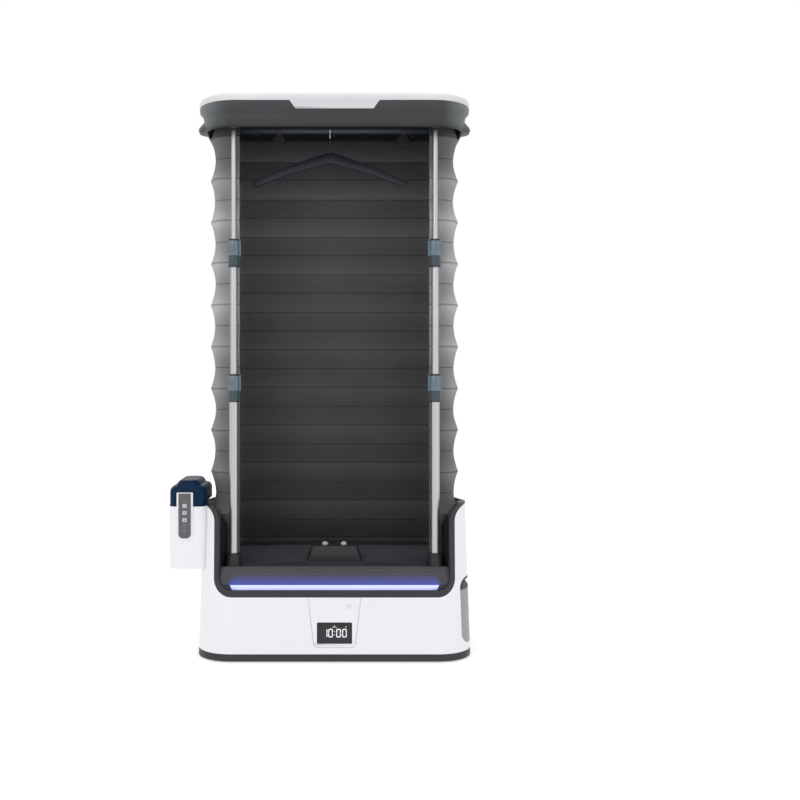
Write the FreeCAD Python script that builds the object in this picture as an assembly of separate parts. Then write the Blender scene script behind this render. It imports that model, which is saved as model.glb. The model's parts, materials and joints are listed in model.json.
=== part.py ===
import FreeCAD, Part
import math
import os

from FreeCAD import Vector

# Clothes care steam cabinet.
# A low base holds the boiler, pump, fan and board; telescopic poles carry a lid with a hanging
# rail, and a pleated fabric wall closes the sides and back between base and lid.
# X runs to the user's right, the open front faces -Y, Z is up and the floor is Z = 0.
# All sizes are in millimetres.

os.makedirs("parts", exist_ok=True)

# ---------------------------------------------------------------- driving dimensions
# Base shell
BASE_WIDTH = 702.0
BASE_DEPTH = 410.0
BASE_CORNER_R = 90.0
WING_TOP = 390.0
WING_FALL = 26.0
WALL_DRAFT = 11.64
SHELL_WALL = 3.0
FOOT_HEIGHT = 3.0
FOOT_R = 14.0
TRAY_FLOOR = 3.0
TRAY_RIM_TOP = 21.0
TRAY_RIM_WALL = 5.0
TRAY_LIP_WALL = 2.0
TRAY_LIP_HEIGHT = 6.0
FIT = 0.3

# Opening at the front of the base and the dark frame round it
SILL_TOP = 162.0
OPENING_INSET = 47.0
OPENING_CORNER_R = 45.0
FLARE_R = 40.0
FRAME_WIDTH = 13.0
FRAME_SILL = 17.0
FRAME_DEPTH = 16.0
RIM_HEIGHT = 5.0
RIM_WALL = 6.0

# Deck
DECK_TOP = 231.0
DECK_THICK = 6.0
LED_HEIGHT = 12.0
LED_DEPTH = 8.0
LED_SETBACK = 8.0
LED_INSET = 88.0
LED_BOARD = 1.6
LIP_RISE = 4.0
LIP_SETBACK = 28.0
LIP_WALL = 7.0

# Poles
POLE_INSET = 94.0
POLE_SETBACK = 53.0
LOWER_TUBE_R = 11.5
MIDDLE_TUBE_R = 9.0
UPPER_TUBE_R = 6.5
TUBE_WALL = 1.5
LOWER_CLAMP_Z = 651.0
UPPER_CLAMP_Z = 995.0
CLAMP_HEIGHT = 71.0
CLAMP_R = 14.0
CLAMP_NECK_R = 12.0
CLAMP_FOOT_SHARE = 0.4
CLAMP_RING = 4.0
LEVER_WALL = 2.4
PIN_R = 1.4
PIN_PLAY = 0.06
EYE_WALL = 1.5
SOCKET_WALL = 5.0
SOCKET_BOSS_H = 34.0
SOCKET_BOSS_FLARE = 4.0
TUBE_OVERLAP = 50.0

# Fabric wall
BELLOWS_INSET = 26.0
BELLOWS_FRONT_SETBACK = 72.0
BELLOWS_BACK_SETBACK = 22.0
BELLOWS_FRONT_R = 55.0
BELLOWS_BACK_R = 75.0
BELLOWS_RETURN_INSET = 106.0
PLEAT_DEPTH = 12.0
PLEAT_COUNT = 10.5
FABRIC_WALL = 3.0
BOTTOM_RAIL_H = 20.7
TOP_RAIL_H = 10.0
RAIL_WALL = 6.0

# Lid
LID_OVERHANG = 14.5
LID_DEPTH = 420.0
LID_CORNER_R = 100.0
LID_BOTTOM = 1341.0
LID_FRAME_HEIGHT = 65.0
LID_TOP_HEIGHT = 19.0
LID_TAPER = 34.0
LID_SIDE_WALL = 4.0
LID_SHOULDER_LENGTH = 150.0
LID_SHOULDER_IN = 23.5
LID_REAR_IN = 27.5
LID_FRONT_TAPER = 8.0
LID_FRONT_WALL = 12.0
LID_WAIST_RISE = 40.0
LID_WAIST_IN = 23.0
LID_WAIST_BLEND = 14.0
LID_BROW_DROP = 12.0
LID_BROW_IN = 3.0
LID_EDGE_ROUND = 7.0
LID_TOP_WALL = 3.0
LID_LEDGE = 8.0
LID_CLEAR = 1.0
FLANGE_TUCK = 1.0
FLANGE_FRONT_SETBACK = 50.0
FLANGE_LENGTH = 68.0
FLANGE_HEIGHT = 13.0
FLANGE_BLEND = 22.0
FLANGE_CORNER_R = 30.0
CEILING_THICK = 3.0
LID_SOCKET_WALL = 4.0
TAB_TOP_HALF = 114.0
TAB_BOTTOM_HALF = 98.0
TAB_HEIGHT = 20.0
TAB_THICK = 3.0

# Hanging rail and what hangs on it
RAIL_R = 10.0
RAIL_TUBE_WALL = 1.5
RAIL_DROP = 17.0
RAIL_END_INSET = 55.0
CHEEK_THICK = 8.0
CHEEK_WIDTH = 34.0
CLIP_WIDTH = 14.0
CLIP_WALL = 3.0
CLIP_LEFT_X = -150.0
CLIP_RIGHT_X = 187.0
CLIP_BLADE_H = 26.0
CLIP_BLADE_HALF = 12.0
HANGER_X = -12.0
HANGER_WIRE_R = 1.9
HANGER_SPAN = 420.0
HANGER_DROP = 62.0
HANGER_NECK = 26.0
HANGER_THICK = 10.0
HANGER_ARM_H = 16.0
SHOULDER_FALL = 78.0

# Front panel
PANEL_TOP_HALF = 66.0
PANEL_BOTTOM_HALF = 51.0
PANEL_BOTTOM_Z = 38.0
PANEL_GAP = 0.7
WINDOW_HALF = 44.0
WINDOW_BOTTOM_Z = 47.0
WINDOW_HEIGHT = 53.0
WINDOW_THICK = 1.6
POWER_X = 36.0
POWER_Z = 139.0
POWER_R = 6.0
BUTTON_LENGTH = 7.0
BUTTON_PROUD = 0.6
BUTTON_PLAY = 0.2

# Side pod with the water tank
POD_OVERHANG = 71.0
POD_WIDTH = 97.0
POD_FRONT_SETBACK = 40.0
POD_LENGTH = 165.0
POD_BOTTOM = 227.0
POD_TOP = 385.0
POD_WALL = 3.0
POD_CORNER_R = 22.0
STRIP_OFFSET = 29.0
STRIP_HALF = 15.5
STRIP_TOP = 419.0
STRIP_BOTTOM = 305.5
STRIP_THICK = 2.2
TONGUE_MARGIN = 5.0
TONGUE_THICK = 7.0
MODE_BUTTON_TOP_Z = 388.0
MODE_BUTTON_PITCH = 18.0
MODE_BUTTON_HALF = 5.5
MODE_BUTTON_HEIGHT = 10.0
MODE_BUTTON_LENGTH = 4.6
TANK_WALL = 2.5
TANK_PLAY = 0.6
CAP_SHOULDER = 52.0
CAP_DOME = 13.0
CAP_WALL = 2.5
CAP_SHOULDER_ROUND = 14.0
CAP_DOME_HALF = 31.5
CAP_DOME_SETBACK = 6.0
CAP_DOME_SINK = 8.0
CAP_DOME_ROUND = 14.0
CAP_LIP = 3.0
SEAT_R = 16.0
SEAT_HEIGHT = 10.0
VALVE_R = 8.0
VALVE_HEAD_H = 5.0
VALVE_STEM_R = 5.0
VALVE_PIN_R = 2.0
RUNNING_PLAY = 0.05
SPIGOT_R = 5.0
SPIGOT_BORE_R = 3.0

# Waste water drawer in the right side
DRAWER_BOTTOM = 39.0
DRAWER_TOP = 205.0
GRIP_BOTTOM = 175.0
SCOOP_MARGIN = 5.0
SCOOP_HEIGHT = 18.0
SCOOP_WALL = 4.0
DRAWER_FRONT_SETBACK = 27.0
DRAWER_LEAN = 4.0
DRAWER_CORNER_R = 25.0
DRAWER_BACK_Y = 62.0
DRAWER_GAP = 0.8
DRAWER_WALL = 2.5
TUB_INSET = 183.0
TUB_FRONT_Y = -118.0
TUB_TOP = 150.0
GRIP_DEPTH = 16.0

# Works inside the base
BOILER_Y = -40.0
BOILER_R = 62.0
BOILER_HEIGHT = 70.0
BOILER_FOOT_H = 26.0
BOILER_WALL = 6.0
HEATER_RING_R = 40.0
HEATER_ROD_R = 4.0
NOZZLE_HALF = 73.0
NOZZLE_TOP_HALF = 62.0
NOZZLE_DEPTH = 80.0
NOZZLE_HEIGHT = 38.0
NOZZLE_WALL = 3.0
NOZZLE_PITCH = 50.0
NOZZLE_R = 9.0
NOZZLE_BORE_R = 4.0
NOZZLE_RISE = 6.0
STEAM_PIPE_R = 7.0
STEAM_PIPE_BORE_R = 5.0
FAN_X = 158.0
FAN_BACK_INSET = 93.0
FAN_R = 52.0
FAN_HEIGHT = 44.0
FAN_BOTTOM = 96.0
FAN_WALL = 2.5
FAN_INLET_R = 30.0
IMPELLER_R = 44.0
IMPELLER_GAP = 3.0
BLADE_COUNT = 18
BLADE_THICK = 1.2
SHAFT_R = 3.0
MOTOR_R = 24.0
HEATER_LENGTH = 24.0
DUCT_HALF = 60.0
DUCT_WALL = 2.5
VENT_SLOT = 5.0
VENT_PITCH = 11.0
VENT_COUNT = 9
PUMP_INSET = 125.0
PUMP_Y = 50.0
PUMP_R = 17.0
PUMP_LENGTH = 64.0
PUMP_FOOT = 12.0
HOSE_R = 5.0
HOSE_DROP = 70.0
HOSE_BEND_R = 18.0
BOARD_X = -140.0
BOARD_BACK_INSET = 73.0
BOARD_LENGTH = 150.0
BOARD_WIDTH = 84.0
BOARD_THICK = 1.6
BOARD_STAND = 12.0
BOARD_GRID = 2.0
REAR_HALF = 200.0
REAR_THICK = 2.5
REAR_BOTTOM = 44.0
REAR_TOP = 186.0
REAR_MARGIN = 10.0
REAR_GRILLE_COUNT = 12
REAR_GRILLE_PITCH = 9.0
INLET_X = -130.0
INLET_Z = 80.0
INLET_HALF_X = 15.0
INLET_HALF_Z = 12.0
INLET_LENGTH = 24.0
SCREW_R = 2.0
SCREW_PLAY = 0.3
SCREW_HEAD_R = 4.0
SCREW_HEAD_H = 2.4
SCREW_LENGTH = 14.0

# ---------------------------------------------------------------- places that follow from them
HALF_W = BASE_WIDTH / 2
HALF_D = BASE_DEPTH / 2
OPENING_HALF = HALF_W - OPENING_INSET
LED_HALF = HALF_W - LED_INSET
TUB_INNER_X = HALF_W - TUB_INSET
PUMP_X = -HALF_W + PUMP_INSET
FAN_Y = HALF_D - FAN_BACK_INSET
BOARD_Y = HALF_D - BOARD_BACK_INSET
TRAY_BOTTOM = FOOT_HEIGHT
FLOOR_TOP = TRAY_BOTTOM + TRAY_FLOOR
SIDE_START = -HALF_D + BASE_CORNER_R
DECK_BOTTOM = DECK_TOP - DECK_THICK
FRAME_SILL_TOP = SILL_TOP + FRAME_SILL
POLE_X = HALF_W - POLE_INSET
POLE_Y = -HALF_D + POLE_SETBACK
LID_HALF = HALF_W + LID_OVERHANG
FLANGE_REACH = HALF_W - FLANGE_TUCK
LID_FRONT = -LID_DEPTH / 2
LID_BACK = LID_DEPTH / 2
LID_FRAME_TOP = LID_BOTTOM + LID_FRAME_HEIGHT
LID_TOP = LID_FRAME_TOP + LID_TOP_HEIGHT
LID_WAIST_Z = LID_BOTTOM + LID_WAIST_RISE
CEILING_TOP = LID_FRAME_TOP - LID_TOP_WALL
CEILING_BOTTOM = CEILING_TOP - CEILING_THICK
BELLOWS_HALF = HALF_W - BELLOWS_INSET
BELLOWS_RETURN_EDGE = HALF_W - BELLOWS_RETURN_INSET
BELLOWS_FRONT = -HALF_D + BELLOWS_FRONT_SETBACK
BELLOWS_BACK = HALF_D - BELLOWS_BACK_SETBACK
BELLOWS_BOTTOM = DECK_TOP + BOTTOM_RAIL_H + FIT
BELLOWS_TOP = CEILING_BOTTOM - TOP_RAIL_H - FIT
RAIL_Z = CEILING_BOTTOM - RAIL_DROP
RAIL_HALF = HALF_W - RAIL_END_INSET
POD_LEFT = -HALF_W - POD_OVERHANG
STRIP_X = -HALF_W - STRIP_OFFSET
POD_RIGHT = POD_LEFT + POD_WIDTH
POD_FRONT = -HALF_D + POD_FRONT_SETBACK
POD_BACK = POD_FRONT + POD_LENGTH
TANK_X = (POD_LEFT - HALF_W) / 2
TANK_Y = (POD_FRONT + POD_BACK) / 2
SOCKET_TOP = DECK_TOP + SOCKET_BOSS_H
SOCKET_R = LOWER_TUBE_R + FIT + SOCKET_WALL


# ---------------------------------------------------------------- small helpers
def box(x0, x1, y0, y1, z0, z1):
    """A block between two corners."""
    return Part.makeBox(x1 - x0, y1 - y0, z1 - z0, Vector(x0, y0, z0))


def post(x, y, z0, z1, radius):
    """An upright cylinder."""
    return Part.makeCylinder(radius, z1 - z0, Vector(x, y, z0))


def pipe(x, y, z0, z1, outer, bore):
    """An upright tube, open at both ends."""
    return post(x, y, z0, z1, outer).cut(post(x, y, z0 - 1, z1 + 1, bore))


def rod_x(x0, x1, y, z, radius):
    """A cylinder along X."""
    return Part.makeCylinder(radius, x1 - x0, Vector(x0, y, z), Vector(1, 0, 0))


def rod_y(x, y0, y1, z, radius):
    """A cylinder along Y."""
    return Part.makeCylinder(radius, y1 - y0, Vector(x, y0, z), Vector(0, 1, 0))


def rounded_wire(corners, place):
    """A closed outline through (u, v, radius) corners, put into space by place(u, v)."""
    count = len(corners)
    stops = []
    for i in range(count):
        u, v, radius = corners[i]
        point = Vector(u, v, 0)
        back = Vector(corners[i - 1][0] - u, corners[i - 1][1] - v, 0).normalize()
        ahead = Vector(corners[(i + 1) % count][0] - u, corners[(i + 1) % count][1] - v, 0).normalize()
        if radius <= 0:
            stops.append((point, None, point))
            continue
        half_turn = back.getAngle(ahead) / 2
        reach = radius / math.tan(half_turn)
        middle = (back + ahead).normalize()
        centre = point + middle * (radius / math.sin(half_turn))
        stops.append((point + back * reach, centre - middle * radius, point + ahead * reach))
    edges = []
    for i in range(count):
        entry, middle, leave = [None if p is None else place(p.x, p.y) for p in stops[i]]
        if middle is not None:
            edges.append(Part.Arc(entry, middle, leave).toShape())
        following = place(stops[(i + 1) % count][0].x, stops[(i + 1) % count][0].y)
        if leave.distanceToPoint(following) > 1e-6:
            edges.append(Part.LineSegment(leave, following).toShape())
    return Part.Wire(edges)


def plan_wire(x0, x1, y0, y1, radius, z):
    """A rounded rectangle at height z."""
    corners = [(x0, y0, radius), (x1, y0, radius), (x1, y1, radius), (x0, y1, radius)]
    return rounded_wire(corners, lambda u, v: Vector(u, v, z))


def slab(x0, x1, y0, y1, radius, z0, z1):
    """A block with rounded upright edges."""
    return Part.Face(plan_wire(x0, x1, y0, y1, radius, z0)).extrude(Vector(0, 0, z1 - z0))


def stack(wires):
    """A solid through a pile of outlines, with straight walls between them."""
    return Part.makeLoft(wires, True, True)


def front_plate(corners, y0, y1):
    """A plate facing -Y whose outline is given by (x, z, radius) corners."""
    face = Part.Face(rounded_wire(corners, lambda u, v: Vector(u, y0, v)))
    return face.extrude(Vector(0, y1 - y0, 0))


def side_profile(points, x0, x1):
    """A bar along X whose section is given by (y, z) points."""
    vertices = [Vector(x0, y, z) for y, z in points]
    return Part.Face(Part.makePolygon(vertices + vertices[:1])).extrude(Vector(x1 - x0, 0, 0))


def plan_prism(points, z0, z1):
    """An upright prism whose plan is given by (x, y) points."""
    vertices = [Vector(x, y, z0) for x, y in points]
    return Part.Face(Part.makePolygon(vertices + vertices[:1])).extrude(Vector(0, 0, z1 - z0))


def mirrored(shape):
    """The same piece on the other side of the cabinet."""
    return shape.mirror(Vector(0, 0, 0), Vector(1, 0, 0))


def both_sides(shape):
    """A left and a right piece."""
    return [shape, mirrored(shape)]


def fused(first, *others):
    """One solid out of several that touch."""
    return first.fuse(list(others)).removeSplitter()


def hose(points, bend_r, outer, bore):
    """A hose along straight runs joined by tangent arcs."""
    edges = []
    start = points[0]
    for i in range(1, len(points) - 1):
        back = (points[i - 1] - points[i]).normalize()
        ahead = (points[i + 1] - points[i]).normalize()
        half_turn = back.getAngle(ahead) / 2
        reach = bend_r / math.tan(half_turn)
        middle = (back + ahead).normalize()
        centre = points[i] + middle * (bend_r / math.sin(half_turn))
        entry = points[i] + back * reach
        leave = points[i] + ahead * reach
        edges.append(Part.LineSegment(start, entry).toShape())
        edges.append(Part.Arc(entry, centre - middle * bend_r, leave).toShape())
        start = leave
    edges.append(Part.LineSegment(start, points[-1]).toShape())
    path = Part.Wire(edges)
    solids = []
    for radius in (outer, bore):
        ring = Part.Wire([Part.makeCircle(radius, points[0], points[1] - points[0])])
        solids.append(path.makePipeShell([ring], True, False))
    return solids[0].cut(solids[1])


def save(name, *solids):
    """Write one node as a STEP file."""
    pieces = []
    for solid in solids:
        pieces.extend(solid.Solids)
    for piece in pieces:
        if not piece.isValid() or piece.Volume <= 0:
            print("PROBLEM in", name)
    shape = pieces[0] if len(pieces) == 1 else Part.makeCompound(pieces)
    shape.exportStep("parts/" + name + ".step")
    bounds = shape.BoundBox
    print(
        "%-20s %2d  x %7.1f %7.1f  y %7.1f %7.1f  z %7.1f %7.1f"
        % (name, len(pieces), bounds.XMin, bounds.XMax, bounds.YMin, bounds.YMax, bounds.ZMin, bounds.ZMax)
    )


# ---------------------------------------------------------------- base
def shell_prism(z0, z1, inset):
    """The leaning outer form of the base between two heights, moved inwards by inset."""
    wires = []
    for z in (z0, z1):
        lean = WALL_DRAFT * z / WING_TOP + inset
        radius = BASE_CORNER_R - inset
        wires.append(plan_wire(-HALF_W + lean, HALF_W - lean, -HALF_D + lean, HALF_D - lean, radius, z))
    return stack(wires)


def shell_ring(z0, z1, outer_inset, inner_inset):
    """A band of wall that follows the leaning form."""
    return shell_prism(z0, z1, outer_inset).cut(shell_prism(z0 - 1, z1 + 1, inner_inset))


def opening_prism(shrink, sill_rise):
    """The U-shaped opening of the front, shrunk all round."""
    half = OPENING_HALF - shrink
    sill = SILL_TOP + sill_rise
    corner = OPENING_CORNER_R - shrink
    top = WING_TOP + shrink
    reach = OPENING_HALF + FLARE_R + RIM_HEIGHT
    above = WING_TOP + FLARE_R
    flare = FLARE_R + shrink
    corners = [
        (-reach, above, 0),
        (-reach, top, 0),
        (-half, top, flare),
        (-half, sill, corner),
        (half, sill, corner),
        (half, top, flare),
        (reach, top, 0),
        (reach, above, 0),
    ]
    return front_plate(corners, -HALF_D - 10, SIDE_START)


def build_tray():
    """Floor pan with its rim, runners, stand-offs and locating lip."""
    body = shell_prism(TRAY_BOTTOM, TRAY_RIM_TOP, 0)
    body = body.cut(shell_prism(FLOOR_TOP, TRAY_RIM_TOP + 1, TRAY_RIM_WALL))
    lip_inset = SHELL_WALL + FIT
    lip = shell_ring(
        TRAY_RIM_TOP - 1, TRAY_RIM_TOP + TRAY_LIP_HEIGHT, lip_inset, lip_inset + TRAY_LIP_WALL
    )
    runners = []
    for y in (TUB_FRONT_Y + 14, DRAWER_BACK_Y - 18):
        runners.append(box(TUB_INNER_X, HALF_W - 40, y - 3, y + 3, FLOOR_TOP, DRAWER_BOTTOM + DRAWER_GAP))
    stands = []
    for dx in (-1, 1):
        for dy in (-1, 1):
            x = BOARD_X + dx * (BOARD_LENGTH / 2 - 8)
            y = BOARD_Y + dy * (BOARD_WIDTH / 2 - 8)
            stands.append(post(x, y, FLOOR_TOP, FLOOR_TOP + BOARD_STAND, 4))
    fan_legs = []
    for turn in (90, 210, 330):
        reach = FAN_R - 6
        x = FAN_X + reach * math.cos(math.radians(turn))
        y = FAN_Y + reach * math.sin(math.radians(turn))
        fan_legs.append(post(x, y, FLOOR_TOP, FAN_BOTTOM, 4))
    return fused(body, lip, *runners, *stands, *fan_legs)


def build_feet():
    """Four feet near the corners and one under the boiler."""
    spots = [(0, 0)]
    for sx in (-1, 1):
        for sy in (-1, 1):
            spots.append((sx * (HALF_W - BASE_CORNER_R * 0.7), sy * (HALF_D - BASE_CORNER_R * 0.7)))
    return [post(x, y, 0, TRAY_BOTTOM, FOOT_R) for x, y in spots]


def panel_corners(grow):
    """Outline of the control panel in the front wall."""
    return [
        (-PANEL_TOP_HALF - grow, SILL_TOP + (1 if grow else 0), 0),
        (-PANEL_BOTTOM_HALF - grow, PANEL_BOTTOM_Z - grow, 10 + grow),
        (PANEL_BOTTOM_HALF + grow, PANEL_BOTTOM_Z - grow, 10 + grow),
        (PANEL_TOP_HALF + grow, SILL_TOP + (1 if grow else 0), 0),
    ]


def drawer_region(gap):
    """The part of the right wall that the drawer front fills, its front corners rounded."""
    front = -HALF_D + DRAWER_FRONT_SETBACK + gap
    rear = DRAWER_BACK_Y - gap
    radius = DRAWER_CORNER_R - gap
    outline = [
        (front, DRAWER_BOTTOM + gap, radius),
        (rear, DRAWER_BOTTOM + gap, 0),
        (rear, DRAWER_TOP - gap, radius),
        (front + DRAWER_LEAN, DRAWER_TOP - gap, radius),
    ]
    face = Part.Face(rounded_wire(outline, lambda y, z: Vector(0, y, z)))
    return face.extrude(Vector(HALF_W + 5, 0, 0))


def rear_screw_spots():
    """Screw places on the rear cover."""
    spots = []
    for x in (-REAR_HALF + REAR_MARGIN / 2, REAR_HALF - REAR_MARGIN / 2):
        for z in (REAR_BOTTOM + REAR_MARGIN, REAR_TOP - REAR_MARGIN):
            spots.append((x, z))
    return spots


def wing_slope(z_front, height):
    """A bar across the base that follows the wall tops, which fall away to the back."""
    z_back = z_front - WING_FALL
    return side_profile(
        [
            (SIDE_START, z_front),
            (HALF_D, z_back),
            (HALF_D, z_back + height),
            (SIDE_START, z_front + height),
        ],
        -HALF_W,
        HALF_W,
    )


def wall_y(z, inset):
    """Y of the rear wall's surface at a height."""
    return HALF_D - WALL_DRAFT * z / WING_TOP - inset


def build_shell():
    """White outer wall, low at the front and rising to a wing at each side."""
    body = shell_ring(TRAY_RIM_TOP, WING_TOP, 0, SHELL_WALL)
    body = body.cut(opening_prism(0, 0))
    body = body.cut(front_plate(panel_corners(PANEL_GAP), -HALF_D - 5, SIDE_START))
    body = body.cut(drawer_region(0))
    rear_hole = box(
        -REAR_HALF + REAR_MARGIN, REAR_HALF - REAR_MARGIN, 0, HALF_D + 5, REAR_BOTTOM + 2 * REAR_MARGIN,
        REAR_TOP - 2 * REAR_MARGIN,
    )
    body = body.cut(rear_hole)
    body = body.cut(rod_x(-HALF_W - 5, 0, TANK_Y, POD_BOTTOM + POD_WALL + SEAT_HEIGHT / 2, SPIGOT_R + FIT))
    for x, z in rear_screw_spots():
        hole_r = SCREW_R + SCREW_PLAY
        start = wall_y(z, 10 * SHELL_WALL)
        hole = Part.makeCone(hole_r, 1.1 * hole_r, HALF_D - start, Vector(x, start, z), Vector(0, 1, 0))
        body = body.cut(hole)
    return body.cut(wing_slope(WING_TOP, WING_FALL + RIM_HEIGHT))


def build_rim_frame():
    """Dark frame lining the front opening, running on as a rim along the wall tops."""
    band = opening_prism(0, 0).cut(opening_prism(FRAME_WIDTH, FRAME_SILL))
    wall = shell_ring(SILL_TOP - 1, WING_TOP + RIM_HEIGHT, 0, FRAME_DEPTH)
    front = band.common(wall)
    rim = shell_ring(WING_TOP - WING_FALL - 1, WING_TOP + RIM_HEIGHT, 0, RIM_WALL)
    rim = rim.common(wing_slope(WING_TOP, RIM_HEIGHT))
    return fused(front, rim)


def build_liner():
    """Dark inner wall behind one side of the frame, its top sloping down to the back."""
    x = OPENING_HALF - FRAME_WIDTH - FIT
    y_front = -HALF_D + FRAME_DEPTH + FIT
    y_back = BELLOWS_FRONT - 3
    inward = 13
    wall = 3
    plan = [
        (x, y_front),
        (x, y_front + 14),
        (x - inward, y_back),
        (x - inward - wall, y_back),
        (x - wall, y_front + 13),
        (x - wall, y_front),
    ]
    body = plan_prism(plan, DECK_TOP, WING_TOP)
    slope = side_profile(
        [
            (y_front - 1, WING_TOP - 8),
            (y_back + 1, WING_TOP - 57),
            (y_back + 1, WING_TOP + 1),
            (y_front - 1, WING_TOP + 1),
        ],
        x - inward - wall - 1,
        x + 1,
    )
    y_lip = -HALF_D + LIP_SETBACK
    foot = box(
        x - inward, x + 1, y_front - 1, y_lip + 2 * LIP_WALL + FIT, DECK_TOP, DECK_TOP + LIP_RISE + FIT
    )
    return body.cut(slope).cut(foot)


def vent_cut(z0, z1):
    """Warm air slots behind the nozzle housing."""
    slots = []
    y0 = FAN_Y + FAN_R - 36 + DUCT_WALL + 1
    y1 = FAN_Y + FAN_R - 2 - DUCT_WALL - 1
    for i in range(VENT_COUNT):
        x = (i - (VENT_COUNT - 1) / 2) * VENT_PITCH
        slots.append(slab(x - VENT_SLOT / 2, x + VENT_SLOT / 2, y0, y1, VENT_SLOT / 2 - 0.1, z0, z1))
    return slots


def build_deck():
    """Plate that closes the works, with the sloping lip above the light bar."""
    rear = shell_prism(DECK_BOTTOM, DECK_TOP, SHELL_WALL + FIT)
    rear = rear.common(box(-HALF_W, HALF_W, SIDE_START, HALF_D, DECK_BOTTOM, DECK_TOP))
    front = shell_prism(DECK_BOTTOM, DECK_TOP, FRAME_DEPTH + 1 + FIT)
    front = front.common(box(-HALF_W, HALF_W, -HALF_D, SIDE_START, DECK_BOTTOM, DECK_TOP))
    led_top = FRAME_SILL_TOP + LED_HEIGHT + FIT
    y_front = -HALF_D + LED_SETBACK + LED_DEPTH
    y_lip = -HALF_D + LIP_SETBACK
    lip_points = [
        (y_front, led_top),
        (y_lip, DECK_TOP),
        (y_lip + LIP_WALL / 2, DECK_TOP + LIP_RISE),
        (y_lip + LIP_WALL, DECK_TOP + LIP_RISE),
        (y_lip + 2 * LIP_WALL, DECK_TOP),
        (y_lip + 2 * LIP_WALL, DECK_BOTTOM),
        (y_lip + LIP_WALL / 2, DECK_BOTTOM),
        (y_front + LIP_WALL, led_top),
    ]
    lip = side_profile(lip_points, -OPENING_HALF, OPENING_HALF)
    lip = lip.common(opening_prism(FRAME_WIDTH + FIT, FRAME_SILL + FIT))
    for side in (-1, 1):
        lip = lip.cut(
            post(side * POLE_X, POLE_Y, DECK_TOP, DECK_TOP + LIP_RISE, SOCKET_R + SOCKET_BOSS_FLARE + FIT)
        )
    deck = fused(rear, front, lip)
    for side in (-1, 1):
        deck = deck.cut(post(side * POLE_X, POLE_Y, DECK_BOTTOM - 1, DECK_TOP + 1, SOCKET_R + 0.05))
    deck = deck.cut(post(0, BOILER_Y, DECK_BOTTOM - 1, DECK_TOP + 1, STEAM_PIPE_R + NOZZLE_WALL))
    for slot in vent_cut(DECK_BOTTOM - 1, DECK_TOP + 1):
        deck = deck.cut(slot)
    notch_x = -HALF_W + WALL_DRAFT * DECK_TOP / WING_TOP + SHELL_WALL
    deck = deck.cut(
        box(notch_x - 1, notch_x + 16, TANK_Y - 8, TANK_Y + 8, DECK_BOTTOM - 1, DECK_TOP + 1)
    )
    return deck


def build_pole_socket():
    """Well that one pole stands in and sinks into."""
    well = post(POLE_X, POLE_Y, FLOOR_TOP, SOCKET_TOP, SOCKET_R)
    boss = Part.makeCone(
        SOCKET_R + SOCKET_BOSS_FLARE, SOCKET_R, SOCKET_BOSS_H, Vector(POLE_X, POLE_Y, DECK_TOP)
    )
    boss = boss.common(box(0, HALF_W, -HALF_D, BELLOWS_FRONT - 1, DECK_TOP, SOCKET_TOP))
    bore_bottom = FLOOR_TOP + 5
    return fused(well, boss).cut(post(POLE_X, POLE_Y, bore_bottom, SOCKET_TOP + 1, LOWER_TUBE_R + FIT))


def build_led():
    """Light bar with slanted ends, and its board."""
    y0 = -HALF_D + LED_SETBACK + WALL_DRAFT * SILL_TOP / WING_TOP
    z0 = FRAME_SILL_TOP
    z1 = FRAME_SILL_TOP + LED_HEIGHT
    bar = front_plate(
        [(-LED_HALF + 5, z0, 0), (LED_HALF - 5, z0, 0), (LED_HALF, z1, 0), (-LED_HALF, z1, 0)],
        y0,
        y0 + LED_DEPTH - 1,
    )
    strip = box(
        -LED_HALF + 8, LED_HALF - 8, y0 + LED_DEPTH - 1, y0 + LED_DEPTH - 1 + LED_BOARD, z0 + 1, z1 - 2
    )
    return bar, strip


def window_prism(grow, y0, y1):
    """Outline of the display window."""
    half = WINDOW_HALF + grow
    bottom = WINDOW_BOTTOM_Z - grow
    top = WINDOW_BOTTOM_Z + WINDOW_HEIGHT + grow
    return front_plate([(-half, bottom, 3), (half, bottom, 3), (half, top, 3), (-half, top, 3)], y0, y1)


def build_panel():
    """Control panel, its window and its power button."""
    plate = front_plate(panel_corners(0), -HALF_D - 5, SIDE_START)
    plate = plate.common(shell_ring(TRAY_RIM_TOP, SILL_TOP, 0, SHELL_WALL))
    pocket = shell_prism(TRAY_RIM_TOP, SILL_TOP, -1).cut(
        shell_prism(TRAY_RIM_TOP - 1, SILL_TOP + 1, WINDOW_THICK)
    )
    plate = plate.cut(window_prism(0.1, -HALF_D - 5, 0).common(pocket))
    glass = window_prism(0, -HALF_D - 5, 0)
    glass = glass.common(shell_ring(TRAY_RIM_TOP, SILL_TOP, 0.2, WINDOW_THICK))
    plate = plate.cut(rod_y(POWER_X, -HALF_D - 5, 0, POWER_Z, POWER_R + BUTTON_PLAY))
    face_y = -HALF_D + WALL_DRAFT * POWER_Z / WING_TOP - BUTTON_PROUD
    button = rod_y(POWER_X, face_y, face_y + BUTTON_LENGTH, POWER_Z, POWER_R)
    return plate, glass, button


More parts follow.
